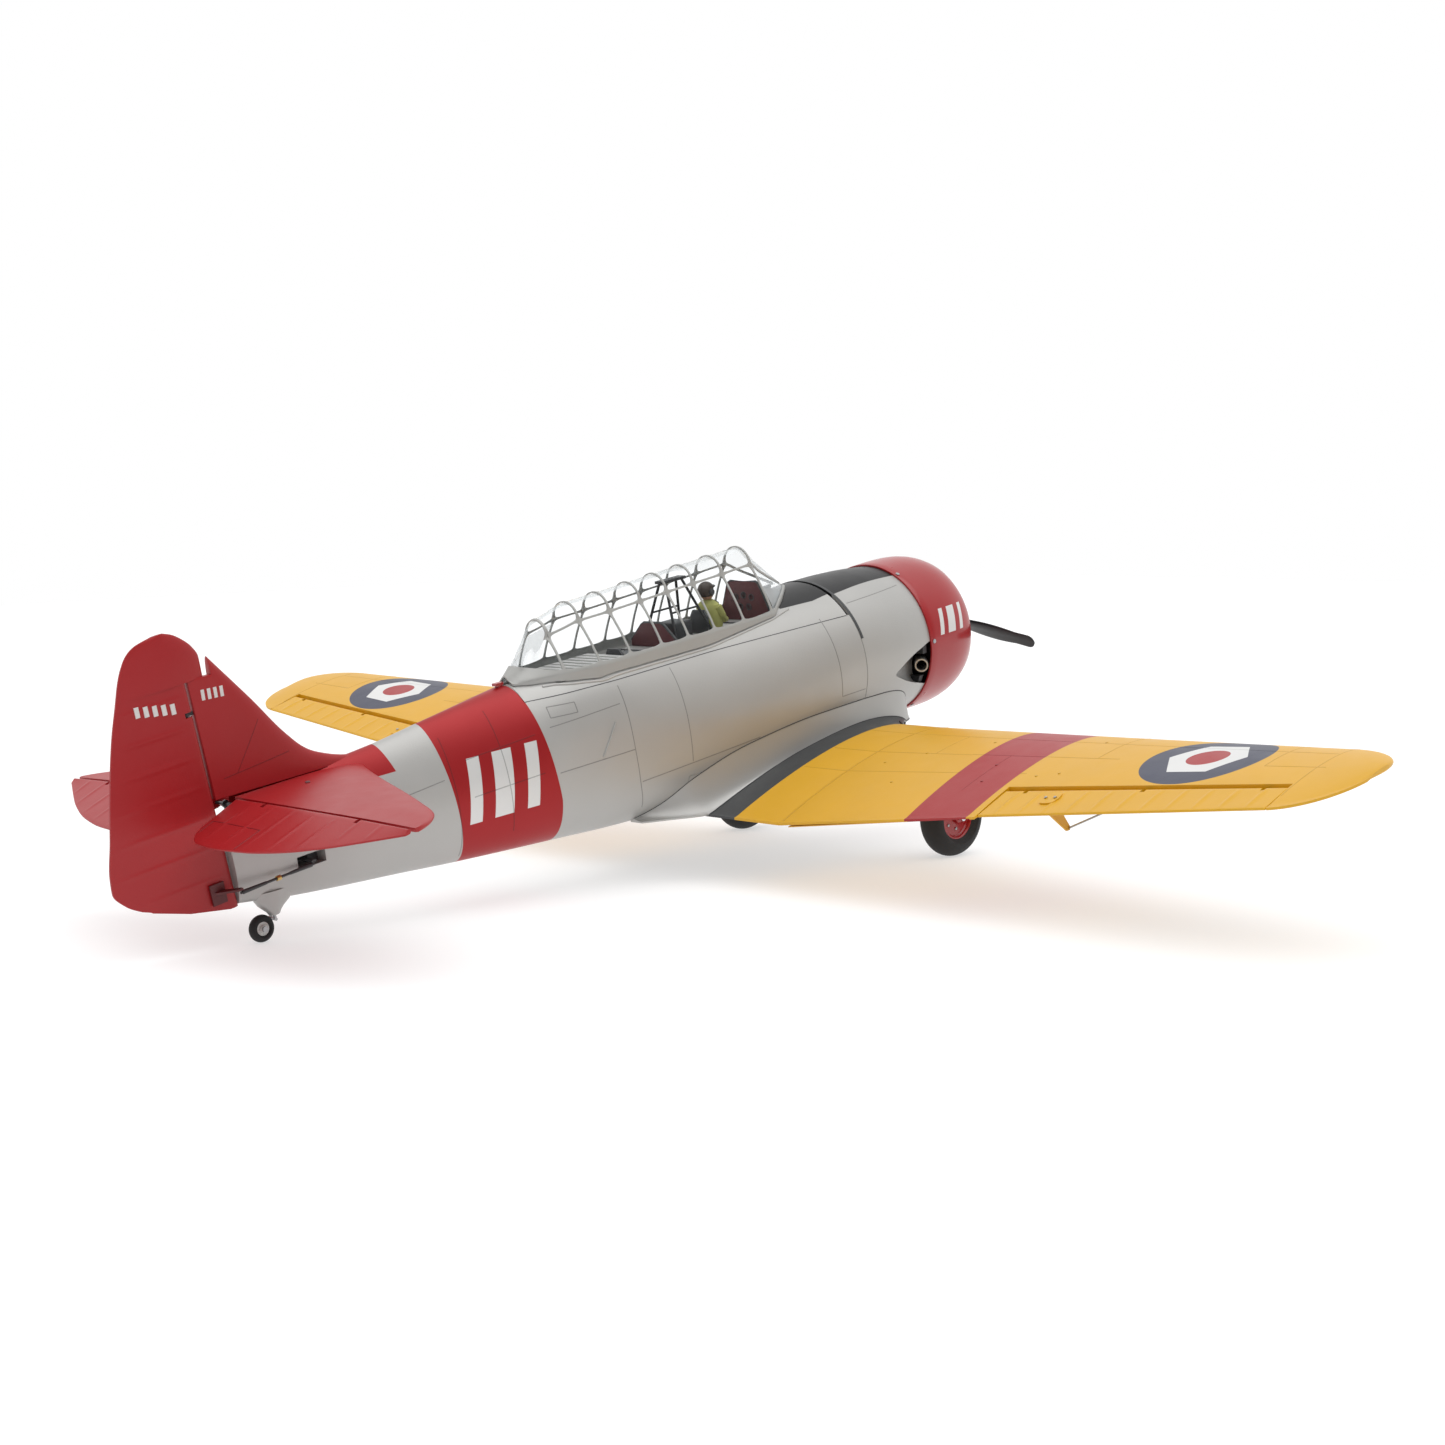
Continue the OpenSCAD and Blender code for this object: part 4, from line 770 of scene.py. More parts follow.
def foil(y, le, te, thick, x=None, side=0):
    """Section points, or one surface's height where side is +1 or -1."""
    c = te[0] - le[0]

    def surface(x, sign):
        return (le[1] + (te[1] - le[1]) * x + 0.08 * c * x * (1 - x)
                + sign * np.maximum(thick * c * thickness(x), 1.1 * x))
    if side:
        return surface(x, side)
    up, down = CHORD[::-1], CHORD[1:]
    x = np.concatenate([up, down])
    z = np.concatenate([surface(up, 1), surface(down, -1)])
    return np.stack([-(le[0] + (te[0] - le[0]) * x), np.full(len(x), y), z], 1)


def panel(y):
    """Leading edge, trailing edge and thickness of the outer panel."""
    t = (y - 170) / (TIP_Y - 170)
    r = 0 if y <= TIP_Y else 1 - math.sqrt(max(0, 1 - ((y - TIP_Y) / (SPAN - TIP_Y)) ** 2))
    le = (200 + 100 * t + 48 * r, -79 + 44.6 * t + 2 * r)
    te = (470 - 21 * t - 72 * r, -98 + 56 * t + 6 * r)
    return le, te, 0.15 - 0.032 * min(t, 1)


CENTRE_LE = table([[0, 156], [60, 158], [70, 166], [92, 192], [102, 199.5], [174, 200]])


def centre(y):
    """The same for the wing centre."""
    le = (float(CENTRE_LE(abs(y))), -79)
    return le, (470, -98), 0.15 * 270 / (470 - le[0])


def wing_top(s, y, side=1):
    le, te, thick = panel(abs(y)) if abs(y) > 170 else centre(y)
    x = np.clip((s - le[0]) / (te[0] - le[0]), 0.002, 1)
    return float(foil(y, le, te, thick, x, side))


panel_rows = np.concatenate([run(170.3, 690, 40), 690 + 53.4 * np.sin(run(0.1, math.pi / 2, 16))])
for word, m in SIDES:
    skin = loft(word + "_wing_skin", put(m, [foil(y, *panel(y)) for y in panel_rows]), yellow_skin)
    flap_bay = np.array([[2.4, 2.2], [-48, -0.8], [-75, -1.3], [-75, -30], [2.4, -30]])
    rings = [np.stack([flap_bay[:, 0], np.full(5, v), flap_bay[:, 1]], 1) for v in (-0.6, FLAP_LEN + 0.6)]
    carve(skin, "DIFFERENCE",
          block("cutter", (-90, -0.6, -30), (7.2, AILERON_LEN + 0.6, 30), m @ AILERON, yellow_skin),
          loft("cutter", put(m @ FLAP, rings), yellow_skin),
          block("cutter", (55, 38, -30), (80, 68, 6), m @ AILERON, yellow_skin))
    part(skin, "airframe", "yellow_foam", word + "_wing")

centre_rows = np.array([-170, -155, -140, -125, -112, -102, -97, -92, -86, -80, -74, -68, -62, -30])
centre_rows = np.concatenate([centre_rows, [0], -centre_rows[::-1]])
middle = loft("wing_centre_skin", put(AIR, [foil(y, *centre(y)) for y in centre_rows]), yellow_skin)


def wheel_well(word, m):
    """The hollow for one wheel: a rounded slot from below the wing up into it."""
    a = np.radians(run(0, 360, 65)[:-1])
    x, y = 43.9 * np.cos(a) - 204, 43.9 * np.sin(a)
    y = np.where(y > 0, y + 52.6, y + 44.2)
    # The two sides end at slightly different heights, so that no two cutters share a face
    top, low = (-74.0, -141.0) if word == "left" else (-73.96, -141.3)
    rings = [np.stack([x, y, np.full(64, z)], 1) for z in (low, top)]
    return loft("cutter", put(m, rings), dark_part)


carve(middle, "DIFFERENCE", body_loft("cutter", FRONT, 530, 1.0, silver_part, 30),
      lathe("cutter", [(0.001, -234), (83.5, -234), (83.5, -200), (79, -120), (0.001, -120)], AIR,
            silver_part))
for word, m in SIDES:
    e = 0.0 if word == "left" else 0.03
    carve(middle, "DIFFERENCE", wheel_well(word, m), cutter((193.7, 238.3), (60, 134), (-142, -69 + e), m),
          cutter((212, 240.4), (117, 145), (-143, -67 + e), m))
part(middle, "airframe", "yellow_foam", "wing_center")
# Belly under the fuselage, which comes off with the wing
belly = body_loft("belly_skin", FRONT, 530, 0.0, silver_skin, 40)
carve(belly, "INTERSECT", cutter((232.5, 475.5), (-90, 90), (-130, -58.3)))
carve(belly, "DIFFERENCE", *[wheel_well(*side) for side in SIDES])
part(belly, "airframe", "silver_foam")
chin = lathe("chin_skin", [(84.5, -232), (84.5, -200), (84.2, -187), (83.3, -166), (81.7, -150.6),
                           (78, -150.6), (80, -200), (80, -232)], AIR, silver_part, steps=144)
carve(chin, "INTERSECT", cutter((150.5, 232.4), (-90, 90), (-100, -58.3)))
carve(chin, "DIFFERENCE", *[wheel_well(*side) for side in SIDES])
part(chin, "airframe", "silver_foam")

# Fillets: a hollow curve from the fuselage side out to the wing
SEAM_Z = table([[150, -68], [153, -58], [160, -49], [178, -41], [200, -38], [300, -36], [400, -44],
                [470, -62], [505, -80], [530, -90]])
FOOT_Y = table([[150, 58], [156, 66], [170, 72], [200, 76], [300, 77], [400, 77], [470, 76],
                [505, 58], [530, 43]])


def skin_y(s, z):
    return math.sqrt(max(float(NOSE_RADIUS(s)) ** 2 - z * z, 1)) if s < FRONT else float(body_y(s, z))


for word, m in SIDES:
    rings = []
    for s in np.concatenate([run(150.5, 170, 10), run(175, 528, 60)]):
        z0, fy = float(SEAM_Z(s)), float(FOOT_Y(s))
        y0 = skin_y(s, z0)
        fz = wing_top(s, fy) if 158 < s < 470 else float(np.interp(s, [150, 158, 470, 528],
                                                                   [-77, wing_top(158.1, fy), -96.5, -92]))
        fy = max(fy, y0 + 1)
        corner = (y0 + 0.22 * (fy - y0), fz + 0.12 * (z0 - fz))
        ring = []
        for t in run(0, 1, 14):
            y = y0 * (1 - t) ** 2 + 2 * corner[0] * t * (1 - t) + fy * t * t
            z = z0 * (1 - t) ** 2 + 2 * corner[1] * t * (1 - t) + fz * t * t
            ring.append((-s, y, z + 0.25))
        ring += [(-s, fy, fz - 1.2), (-s, y0 - 5, fz - 1.2), (-s, y0 - 5, z0)]
        rings.append(ring)
    fillet = loft(word + "_fillet", put(m, rings), silver_part)
    part(fillet, "airframe", "silver_foam")
    edge = [r[0] for r in rings]
    top_line = ribbon(edge, [(0, 1.0, 0.9)] * len(edge), 1.3, m, dark_part, 0.35)
    foot_line = ribbon([r[13] for r in rings][3:60], [(0, 0.1, 1.0)] * 57, 0.8, m, dark_part, 0.25)
    part(join("fillet_edge_lines", [top_line, foot_line]), "airframe", "silver_foam")


def wing_seam(stations, spans, width=0.9, proud=0.14, m=AIR, side=1):
    """A panel line on the wing's upper (side 1) or lower (side -1) surface."""
    p = np.array([(-s, y, wing_top(s, y, side)) for s, y in zip(stations, spans)])
    h = 0.5    # step for the surface's slope
    n = []
    for s, y in zip(stations, spans):
        gs = (wing_top(s + h, y, side) - wing_top(s - h, y, side)) / (2 * h)
        gy = (wing_top(s, y + h, side) - wing_top(s, y - h, side)) / (2 * h)
        n.append((gs * side, -gy * side, side))
    seams.append(ribbon(p, np.array(n), width, m, yellow_seam, proud))


PANEL_JOINT = 172.0    # where the outer panel meets the centre


def at_share(share, y):
    le, te, _ = panel(y) if y > 170 else centre(y)
    return le[0] + share * (te[0] - le[0])


for word, m in SIDES:
    seams = []
    for share, lo, hi in ((0.25, 114, 690), (0.46, 114, 300), (0.455, 300, 480), (0.49, 640, 700),
                          (0.63, 114, 320), (0.63, 393, 400)):
        y = run(lo, hi, 50)
        wing_seam([at_share(share, v) for v in y], y, m=m)
    s = run(at_share(0.02, PANEL_JOINT), at_share(0.985, PANEL_JOINT), 40)
    wing_seam(s, np.full(40, PANEL_JOINT), 1.3, proud=0.3, m=m)
    for y0, lo, hi in ((455, 0.03, 0.455), (640, 0.03, 0.49), (692, 0.05, 0.86), (252, 0.25, 0.46),
                       (350, 0.46, 0.78)):
        s = run(at_share(lo, y0), at_share(hi, y0), 24)
        wing_seam(s, np.full(24, float(y0)), m=m)
    for share, lo, hi in ((0.25, 176, 690), (0.5, 176, 430), (0.5, 496, 690), (0.75, 114, 168)):
        y = run(lo, hi, 40)
        wing_seam([at_share(share, v) for v in y], y, m=m, side=-1)
    part(join(word + "_wing_panel_lines", seams), "airframe", "yellow_foam")
    # Small round fastener heads on the upper skin
    dots = []
    for s, y in ((386, 415), (381, 437), (395.5, 360), (361, 350), (330, 240), (300, 300), (352, 205),
                 (395, 250), (300, 430)):
        z = wing_top(s, y)
        dots.append(lathe("dot", [(0.001, -0.6), (1.5, -0.6), (1.5, 0.25), (1.1, 0.45), (0.001, 0.5)],
                          m @ shift(-s, y, z), red_seam if 307 < y < 393 else yellow_seam, "Z", 16))
    part(join(word + "_wing_fasteners", dots), "airframe", "yellow_foam")


# ------------------------------------------------------------------ tail and moving surfaces
def section_width(u, half, nose=0.35, end=0.85):
    return half * np.where(u < nose, np.sqrt(np.clip(1 - (1 - u / nose) ** 2, 0, 1)),
                           1 - (1 - end) * (u - nose) / (1 - nose))


FIN_LE = table([[36, 797], [40, 800], [49, 833], [60, 858], [77, 876], [116, 906], [162, 943]])
U = np.concatenate([[0], (1 - np.cos(run(0.18, math.pi, 22))) / 2])


def fin_edges(z):
    """Leading edge, trailing edge and half thickness of the fin at a height."""
    te = RUDDER_S + (z - RUDDER_Z) * math.tan(math.radians(RUDDER_LEAN)) - 6.1
    return float(FIN_LE(z)), te, 6 - 2.8 * (z - 40) / 122


def fin_ring(z):
    le, te, half = fin_edges(z)
    w = section_width(U, half)
    s = le + U * (te - le)
    right = np.stack([-s, -w, np.full(len(U), z)], 1)
    left = np.stack([-s, w, np.full(len(U), z)], 1)[::-1]
    return np.concatenate([right, left[:-1]])


fin = loft("fin_skin", put(AIR, [fin_ring(z) for z in run(34, 160.5, 50)]), red_skin)
carve(fin, "DIFFERENCE", cutter((942, 1000), (-20, 20), (144.8, 190)),
      cutter((845, 975), (-6.5, 6.5), (8, 41)))
round_edges(fin, 0.6, 2, 60)
part(fin, "airframe", "red_foam", "fin")
STAB_LE = table([[0, 806], [27, 819], [190, 884], [227, 901], [245, 917], [252, 928], [256, 940]])
STAB_T = table([[0, 13], [27, 12], [190, 8], [256, 4]])


def stab_ring(y):
    le = min(float(STAB_LE(y)), 936.5)
    w = section_width(U, float(STAB_T(y)) / 2, 0.4, 0.8)
    s = le + U * (940.7 - le)
    top = np.stack([-s, np.full(len(U), y), 34 + w], 1)
    low = np.stack([-s, np.full(len(U), y), 34 - w], 1)[::-1]
    return np.concatenate([top, low[:-1]])


def control(name, m, spans, nose, te, te_z, half_te, ribs, amp, mats, sharp=38):
    """A moving surface in its hinge frame: round nose, straight sides, raised ribs."""
    rings = []
    for v in spans:
        r, reach, tz = float(nose(v)), float(te(v)), float(te_z(v))
        rib = sum(math.exp(-((v - q) / 2.0) ** 2) for q in ribs)
        u = run(1, 0.06, 12)
        lift = amp * rib * np.clip(np.sin(np.clip(u * 1.08, 0, 1) * math.pi), 0, 1) ** 0.5
        x = -reach * u
        up = tz + half_te + (r - tz - half_te) * (1 - u) + lift
        low = tz - half_te + (-r - tz + half_te) * (1 - u) - lift
        a = np.radians(run(92, -92, 11))
        px = np.concatenate([x, r * np.cos(a), x[::-1]])
        pz = np.concatenate([up, r * np.sin(a), low[::-1]])
        rings.append(np.stack([px, np.full(len(px), v), pz], 1))
    return loft(name, put(m, rings), mats, angle=sharp)


def hinge_slots(ob, m, places, low=(-3.6, -2.2, -12), high=(11.4, 2.2, 12)):
    """Cuts a pocket for each hinge into a moving surface, in its own finish."""
    carve(ob, "DIFFERENCE", *[block("cutter", np.add(low, (0, v, 0)), np.add(high, (0, v, 0)), m,
                                    ob.data.materials[0]) for v in places])


ELEV_TE = table([[14, 33], [22, 48], [40, 60], [75, 63], [110, 61], [150, 53], [190, 38], [225, 20],
                 [245, 9], [254, 4]])
ELEV_NOSE = table([[14, 5.2], [110, 4.6], [190, 3.6], [254, 2.0]])
for word, m in SIDES:
    stab = loft(word + "_stabilizer_skin", put(m, [stab_ring(y) for y in np.concatenate(
        [run(5, 240, 40), run(243, 255, 8)])]), red_skin)
    carve(stab, "DIFFERENCE", body_loft("cutter", 780, 968, -0.1, red_skin, 24),
          *([cutter((846, 863), (0, 12.8), (10, 42))] if word == "left" else []))
    part(stab, "airframe", "red_foam", word + "_stabilizer")
    rows = np.concatenate([run(16, 240, 150), run(242, 254, 10)])
    elevator = control(word + "_elevator_skin", m @ ELEVATOR, rows, ELEV_NOSE, ELEV_TE,
                       table([[0, -1], [260, -1]]), 0.7,
                       (44, 74, 104, 134, 164, 194, 222), 0.55, red_skin)
    round_edges(elevator, 0.4, 2, 60)
    hinge_slots(elevator, m @ ELEVATOR, (60, 190))
    part(elevator, "elevator", "red_foam", word + "_elevator")
    seams = []
    for y0, x0, y1, x1 in ((24, -30, 96, -32), (24, -30, 24, -46), (96, -32, 96, -60)):
        v, x = run(y0, y1, 20), run(x0, x1, 20)
        top = [-0.3 + (float(ELEV_NOSE(a)) + 0.3) * (1 - min(1, -b / float(ELEV_TE(a))))
               for a, b in zip(v, x)]
        p = np.stack([x, v, top], 1)
        seams.append(ribbon(p, np.tile([0.05, 0, 1.0], (20, 1)), 0.9, m @ ELEVATOR, red_seam, 0.3))
    part(join(word + "_trim_tab_lines", seams), "elevator", "red_foam")

    aileron = control(word + "_aileron_skin", m @ AILERON, run(0.2, AILERON_LEN - 0.2, 220),
                      table([[0, 6.4], [AILERON_LEN, 4]]), table([[0, 42], [AILERON_LEN, 35]]),
                      table([[0, -5], [AILERON_LEN, -4]]), 1.0, [18 + 25.3 * k for k in range(11)], 1.2,
                      yellow_skin)
    round_edges(aileron, 0.4, 2, 60)
    hinge_slots(aileron, m @ AILERON, (24, 150, 268))
    part(aileron, word + "_aileron", "yellow_foam", word + "_aileron")
    tilt = m @ AILERON @ shift(-15, 62, 3.1) @ turn(-13.5, "Y")
    pieces = [plate("horn_plate", closed_curve([(-9, -3), (-9, 3), (-4, 4.6), (4, 4.6), (9, 3), (9, -3),
                                                (4, -4.6), (-4, -4.6)], 5) * [1, 1.9],
                    (-0.6, 1.1), tilt @ turn(-90, "X"), yellow_skin)]
    for dy in (-5, 5):
        pieces.append(lathe("screw", [(0.001, 0.9), (1.5, 0.9), (1.5, 1.6), (0.9, 1.9), (0.001, 1.9)],
                            tilt @ shift(0, dy, 0), steel, "Z", 20))
    part(join(word + "_aileron_horn_plate", pieces), word + "_aileron", "yellow_foam")
    flap = control(word + "_flap_skin", m @ FLAP, run(0, FLAP_LEN, 60), table([[0, 1.8], [300, 1.8]]),
                   table([[0, 58], [FLAP_LEN, 46]]), table([[0, -2.2], [300, -2.2]]), 0.45,
                   [], 0, yellow_skin)
    hinge_slots(flap, m @ FLAP, (14, 108, 204), (-2.4, -1.7, -5), (5.6, 1.7, 5))
    part(flap, word + "_flap", "yellow_foam", word + "_flap")

# Rudder: rows run up its axis, and the fabric ribs run aft from it
RUD_TE = table([[0, 71], [20, 72], [26, 83], [34, 94], [48, 103.5], [60, 102.5], [90, 94.5], [123, 86],
                [170, 71.5], [196.5, 61]])
upright = RUDDER_AIR @ turn(90, "X")
spans = np.concatenate([run(0, 60, 60), run(61, 196.8, 110)])
rudder = control("rudder_skin", upright, spans, table([[0, 5.5], [200, 4.2]]), RUD_TE,
                 table([[0, 0], [200, 0]]), 0.9, (30, 56, 82, 108, 134, 160, 186), 0.45, red_skin)
BAL = table([[196.5, 23], [214, 23.4], [224, 19], [233, 10.5], [238, 3.5], [241.5, -5]])
BAL_TE = table([[196.5, 61], [214, 54], [224, 48.5], [233, 41], [238, 32], [241.5, 15]])
rings = []
for h in np.concatenate([run(196.7, 236, 24), run(237, 241.4, 8)]):
    lead, tail = float(BAL(h)), float(BAL_TE(h))
    w = section_width(U, 4.6 - 3.0 * ((h - 196.5) / 45) ** 2, 0.4, 0.2)
    x = lead - U * (lead + tail)
    ring = np.stack([x, w, np.full(len(U), h)], 1)
    rings.append(np.concatenate([ring, (ring * [1, -1, 1])[::-1][:-1]]))
balance = loft("rudder_balance_skin", put(RUDDER_AIR, rings), red_skin)
floor = np.array([(8, -1.5), (-4, 0), (-40, 8.5), (-72, 20.5), (-110, 30), (-110, -8), (8, -8)], float)
carve(rudder, "DIFFERENCE", plate("cutter", floor, (-20, 20), RUDDER_AIR, red_skin),
      *[block("cutter", (-3.6, -12, h - 2.2), (11.4, 12, h + 2.2), RUDDER_AIR, red_skin)
        for h in (60, 170)])
part(rudder, "rudder", "red_foam", "rudder")
part(balance, "rudder", "red_foam")


# ------------------------------------------------------------------ canopy and cockpit
ROWS = [[262, 9, 86, 3.5, 91], [275, 19, 82.5, 6.8, 101.5], [288, 28, 79.5, 10, 112],
        [302, 35.5, 74, 13.9, 124], [316, 42, 69, 17.7, 136], [357, 42, 68, 17.7, 134.3],
        [398, 42, 68, 17.7, 132.8], [434, 42, 68, 17.7, 131.3], [470, 42, 68, 17.7, 129.8],
        [511, 42, 68, 17.7, 128.1], [550, 41.5, 68, 17.2, 126.5], [570, 37.5, 68, 15.8, 121.6],
        [588, 33, 68, 14.5, 117], [603, 27, 68, 11.2, 101], [612, 22.8, 68, 9.3, 91.4],
        [618, 20, 68, 8, 85], [634, 10, 66, 4, 72]]
SILL_Y, SILL_Z, ARCH, ROOF = (table([[r[0], r[k]] for r in ROWS]) for k in (1, 2, 3, 4))
HOOPS = (316, 357, 398, 434, 470, 511, 550, 588)
SIDE = 12      # points up each side of the outline, ending at the shoulder
CROWN = 20     # steps over the arch


def canopy_line(s, out):
    """The outline from the starboard foot over the roof to the port foot."""
    w, sill, r, top = float(SILL_Y(s)), float(SILL_Z(s)), float(ARCH(s)), float(ROOF(s))
    shoulder = top - r
    foot = float(body_z(s, w)) + 0.4
    side = [(w + out, foot)]
    for t in run(0, 1, SIDE - 1):
        bow = 1.5 * math.sin(math.pi * t)
        side.append((w + (r - w) * t + bow + out, sill + (shoulder - sill) * t))
    arch = [((r + out) * math.cos(a), shoulder + (r + out) * math.sin(a))
            for a in run(0, math.pi, CROWN + 1)[1:-1]]
    pts = [(-y, z) for y, z in side] + [(-y, z) for y, z in arch] + [(y, z) for y, z in side[::-1]]
    return np.array([(-s, y, z) for y, z in pts])


def band(name, outer, inner, mats, m=AIR, **k):
    """A curved sheet with two faces and four edges, from two grids of points."""
    a, b = np.asarray(outer), np.asarray(inner)
    rows, n = a.shape[:2]
    verts = np.concatenate([a.reshape(-1, 3), b.reshape(-1, 3)])
    q, faces = rows * n, []
    for i in range(rows - 1):
        for j in range(n - 1):
            v = i * n + j
            faces.append((v, v + 1, v + n + 1, v + n))
            faces.append((q + v, q + v + n, q + v + n + 1, q + v + 1))
        for v, w in ((i * n, (i + 1) * n), (i * n + n - 1, (i + 2) * n - 1)):
            faces.append((v, w, q + w, q + v))
    for i in (0, rows - 1):
        for j in range(n - 1):
            v = i * n + j
            faces.append((v, v + 1, q + v + 1, q + v))
    return mesh_object(name, put(m, verts), faces, mats, **k)


stations = sorted({262, 266, 270, *run(274, 316, 15), *run(316, 588, 40), *run(588, 622, 14)})
clear = band("canopy_glass_shell", [canopy_line(s, 0) for s in stations],
             [canopy_line(s, -0.8) for s in stations], glass, angle=60)
part(clear, "hatch", "clear", "canopy_glass")


def hoop(s, half, web, out=1.55):
    """A frame hoop across the canopy, with a web where it meets the side rails."""
    base = canopy_line(s, 0)
    marks = (1, SIDE - 1, len(base) - SIDE, len(base) - 2)
    along = np.concatenate([[0], np.cumsum(np.linalg.norm(np.diff(base, axis=0), axis=1))])
    rings = []
    for f in run(0, len(base) - 1, 3 * len(base) - 2):
        j = min(int(f), len(base) - 2)
        t = f - j
        d = along[j] + t * (along[j + 1] - along[j])
        w = half + sum(web * math.exp(-abs(d - along[q]) / 2.4) for q in marks)
        ring = []
        for du, o in ((-1, 0.3), (-1, out - 0.35), (-0.82, out), (0.82, out), (1, out - 0.35), (1, 0.3)):
            line = canopy_line(s + du * w, o)
            ring.append(line[j] * (1 - t) + line[j + 1] * t)
        rings.append(ring)
    return loft("hoop", put(AIR, rings), frame_grey, angle=50)


def side_rail(lo, hi, index, half, web, out, count=70):
    """A rail along the canopy at one point of its outline, on both sides."""
    made = []
    for left in (False, True):
        rings = []
        for s in run(lo, hi, count):
            w = half + sum(web * math.exp(-abs(s - h) / 2.4) for h in HOOPS)
            line = [canopy_line(s, o) for o in (0.3, out)]
            j = index if not left else len(line[0]) - 1 - index
            step = -1 if left else 1
            ring = []
            for o, dv in ((0, -1), (1, -0.85), (1, 0.85), (0, 1)):
                p, q = line[o][j], line[o][j + (step if dv > 0 else -step)]
                u = (q - p) / np.linalg.norm(q - p)
                ring.append(p + u * w * abs(dv))
            rings.append(ring)
        made.append(loft("rail", put(AIR, rings), frame_grey, angle=50))
    return made


frames = [hoop(s, 1.15, 3.4) for s in HOOPS]
frames += side_rail(316, 588, SIDE - 1, 1.1, 3.2, 1.5, 150)


def half_outline(s, o, heights):
    """Points up the canopy's starboard side at given heights, no further than its ridge."""
    line = canopy_line(s, o)
    line = line[:len(line) // 2 + 1]
    z = np.clip(heights, line[0][2], line[-1][2])
    return [(-s, float(np.interp(v, line[:, 2], line[:, 1])), float(v)) for v in z]


for word, m in SIDES:
    # Skirt round the foot: a straight strip that rises to close the canopy's tail
    outer, inner = [], []
    for s in list(run(262, 588, 120)) + list(run(589, 634, 26)):
        foot = float(body_z(s, float(SILL_Y(s)))) - 0.4
        web = 2.6 * sum(math.exp(-abs(s - h) / 3.2) for h in HOOPS)
        high = float(SILL_Z(s)) + 2.2 + web + max(0, s - 590) * 0.32
        if s > 606:
            high = max(high, float(SILL_Z(s)) + (s - 606) * 0.8)
        heights = run(foot, high, 10)
        outer.append(half_outline(s, 1.7, heights))
        inner.append(half_outline(s, 0.5, heights))
    frames.append(band("skirt", outer, inner, frame_grey, m=m, angle=50))
    # Windscreen: an edge post up each side to the first hoop
    rings = []
    for s in run(264, 316, 18):
        line = [canopy_line(s, o) for o in (0.3, 1.4)]
        p, q = line[0][SIDE - 1], line[1][SIDE - 1]
        up = line[0][SIDE] - p
        up = up / np.linalg.norm(up)
        rings.append([p - up * 1.5, q - up * 1.3, q + up * 1.3, p + up * 1.5])
    frames.append(loft("windscreen_post", put(m, rings), frame_grey, angle=50))
part(join("canopy_frame_mouldings", frames), "hatch", "silver_foam", "canopy_frame")


def shaped(name, outline, s0, s1, mats, edge=0.6):
    """A plate across the cockpit: an outline of (y, z) between two stations."""
    o = np.array(outline, float)
    rings = [np.stack([np.full(len(o), -s), o[:, 0], o[:, 1]], 1) for s in (s0, s1)]
    ob = loft(name, put(AIR, rings), mats)
    round_edges(ob, edge, 2)
    return ob


def both_sides(half):
    """An outline of (y, z) from its port half, listed from foot to top."""
    return [(-y, z) for y, z in half] + half[::-1]


def coaming(s, half, top, shoulder, height):
    return shaped("coaming", both_sides([(half, 60), (half, 60 + shoulder), (top, 58 + height),
                                         (top - 4, 60 + height)]), s - 1.5, s + 1.5, maroon)


fittings = [coaming(311, 34, 22, 10, 40), coaming(441, 33, 16, 6, 24)]
for s, half, top, z, drop in ((311, 34, 22, 100, 30), (441, 33, 16, 84, 18)):
    rim = [(-s, y, h) for y, h in ((-half, z - drop), (-top, z - 2), (-top + 4, z), (top - 4, z),
                                   (top, z - 2), (half, z - drop))]
    fittings.append(tube("coaming_rim", rim, 1.5, AIR, dark_part, steps=12))
for s in (376, 494):
    fittings.append(shaped("seat_pan", both_sides([(12, 60), (12, 62.5)]), s - 24, s, dark_part))
    h = 84 if s < 400 else 70
    fittings.append(shaped("seat_back", both_sides([(12, 60), (12, h - 6), (8, h)]), s, s + 3, dark_part))
fittings.append(shaped("radio_box", both_sides([(14, 60), (14, 79), (13, 80)]), 402, 424, dark_part, 0.9))
# Small instruments on the front coaming's aft face
for y, z in ((-11, 84), (0, 86), (11, 84), (-6, 74), (6, 74)):
    fittings.append(lathe("dial", [(0.001, -1.0), (3.6, -1.0), (3.6, 0.5), (2.8, 0.5), (2.6, 0.1),
                                   (0.001, 0.1)],
                          at(312.4, y, z) @ turn(-90, "Y"), dark_part, "Z", 24))
# Cockpit floor lining and ribbed deck behind the seats
lining = []
for s in (330, 352, 398, 430, 462, 520, 544, 568):
    lining.append(shaped("floor_rib", both_sides([(34.2, 60), (34.2, 61.4)]), s - 1, s + 1, dark_part, 0.3))
part(join("cockpit_furniture", fittings), "hatch", "maroon_trim", "cockpit_fittings")
part(join("cockpit_floor_ribs", lining), "hatch", "black_plastic")
deck = []
for s in run(510, 590, 9):
    h = 35 if s < 560 else 35 - (s - 560) * 0.1
    deck.append(shaped("deck_slat", both_sides([(h, 60.2), (h, 64), (h - 8, 66.6)]), s - 3.8, s + 3.0,
                       silver_part, 0.8))
part(join("rear_deck_slats", deck), "hatch", "silver_foam")
truss = [shaped("top_bar", both_sides([(6, 119.5), (6, 122), (5.4, 122.5)]), 394, 426, black_part, 0.4)]
for sg in (1, -1):
    truss.append(tube("strut", [(-383, sg * 24, 61), (-399, sg * 4, 120.5)], 1.4, AIR, black_part))
    truss.append(tube("strut", [(-434, sg * 24, 61), (-421, sg * 4, 120.5)], 1.4, AIR, black_part))
    truss.append(tube("brace", [(-391, sg * 14, 91), (-427.5, sg * 14, 91)], 1.0, AIR, black_part))
part(join("rollover_truss", truss), "hatch", "black_plastic", "rollover_frame")


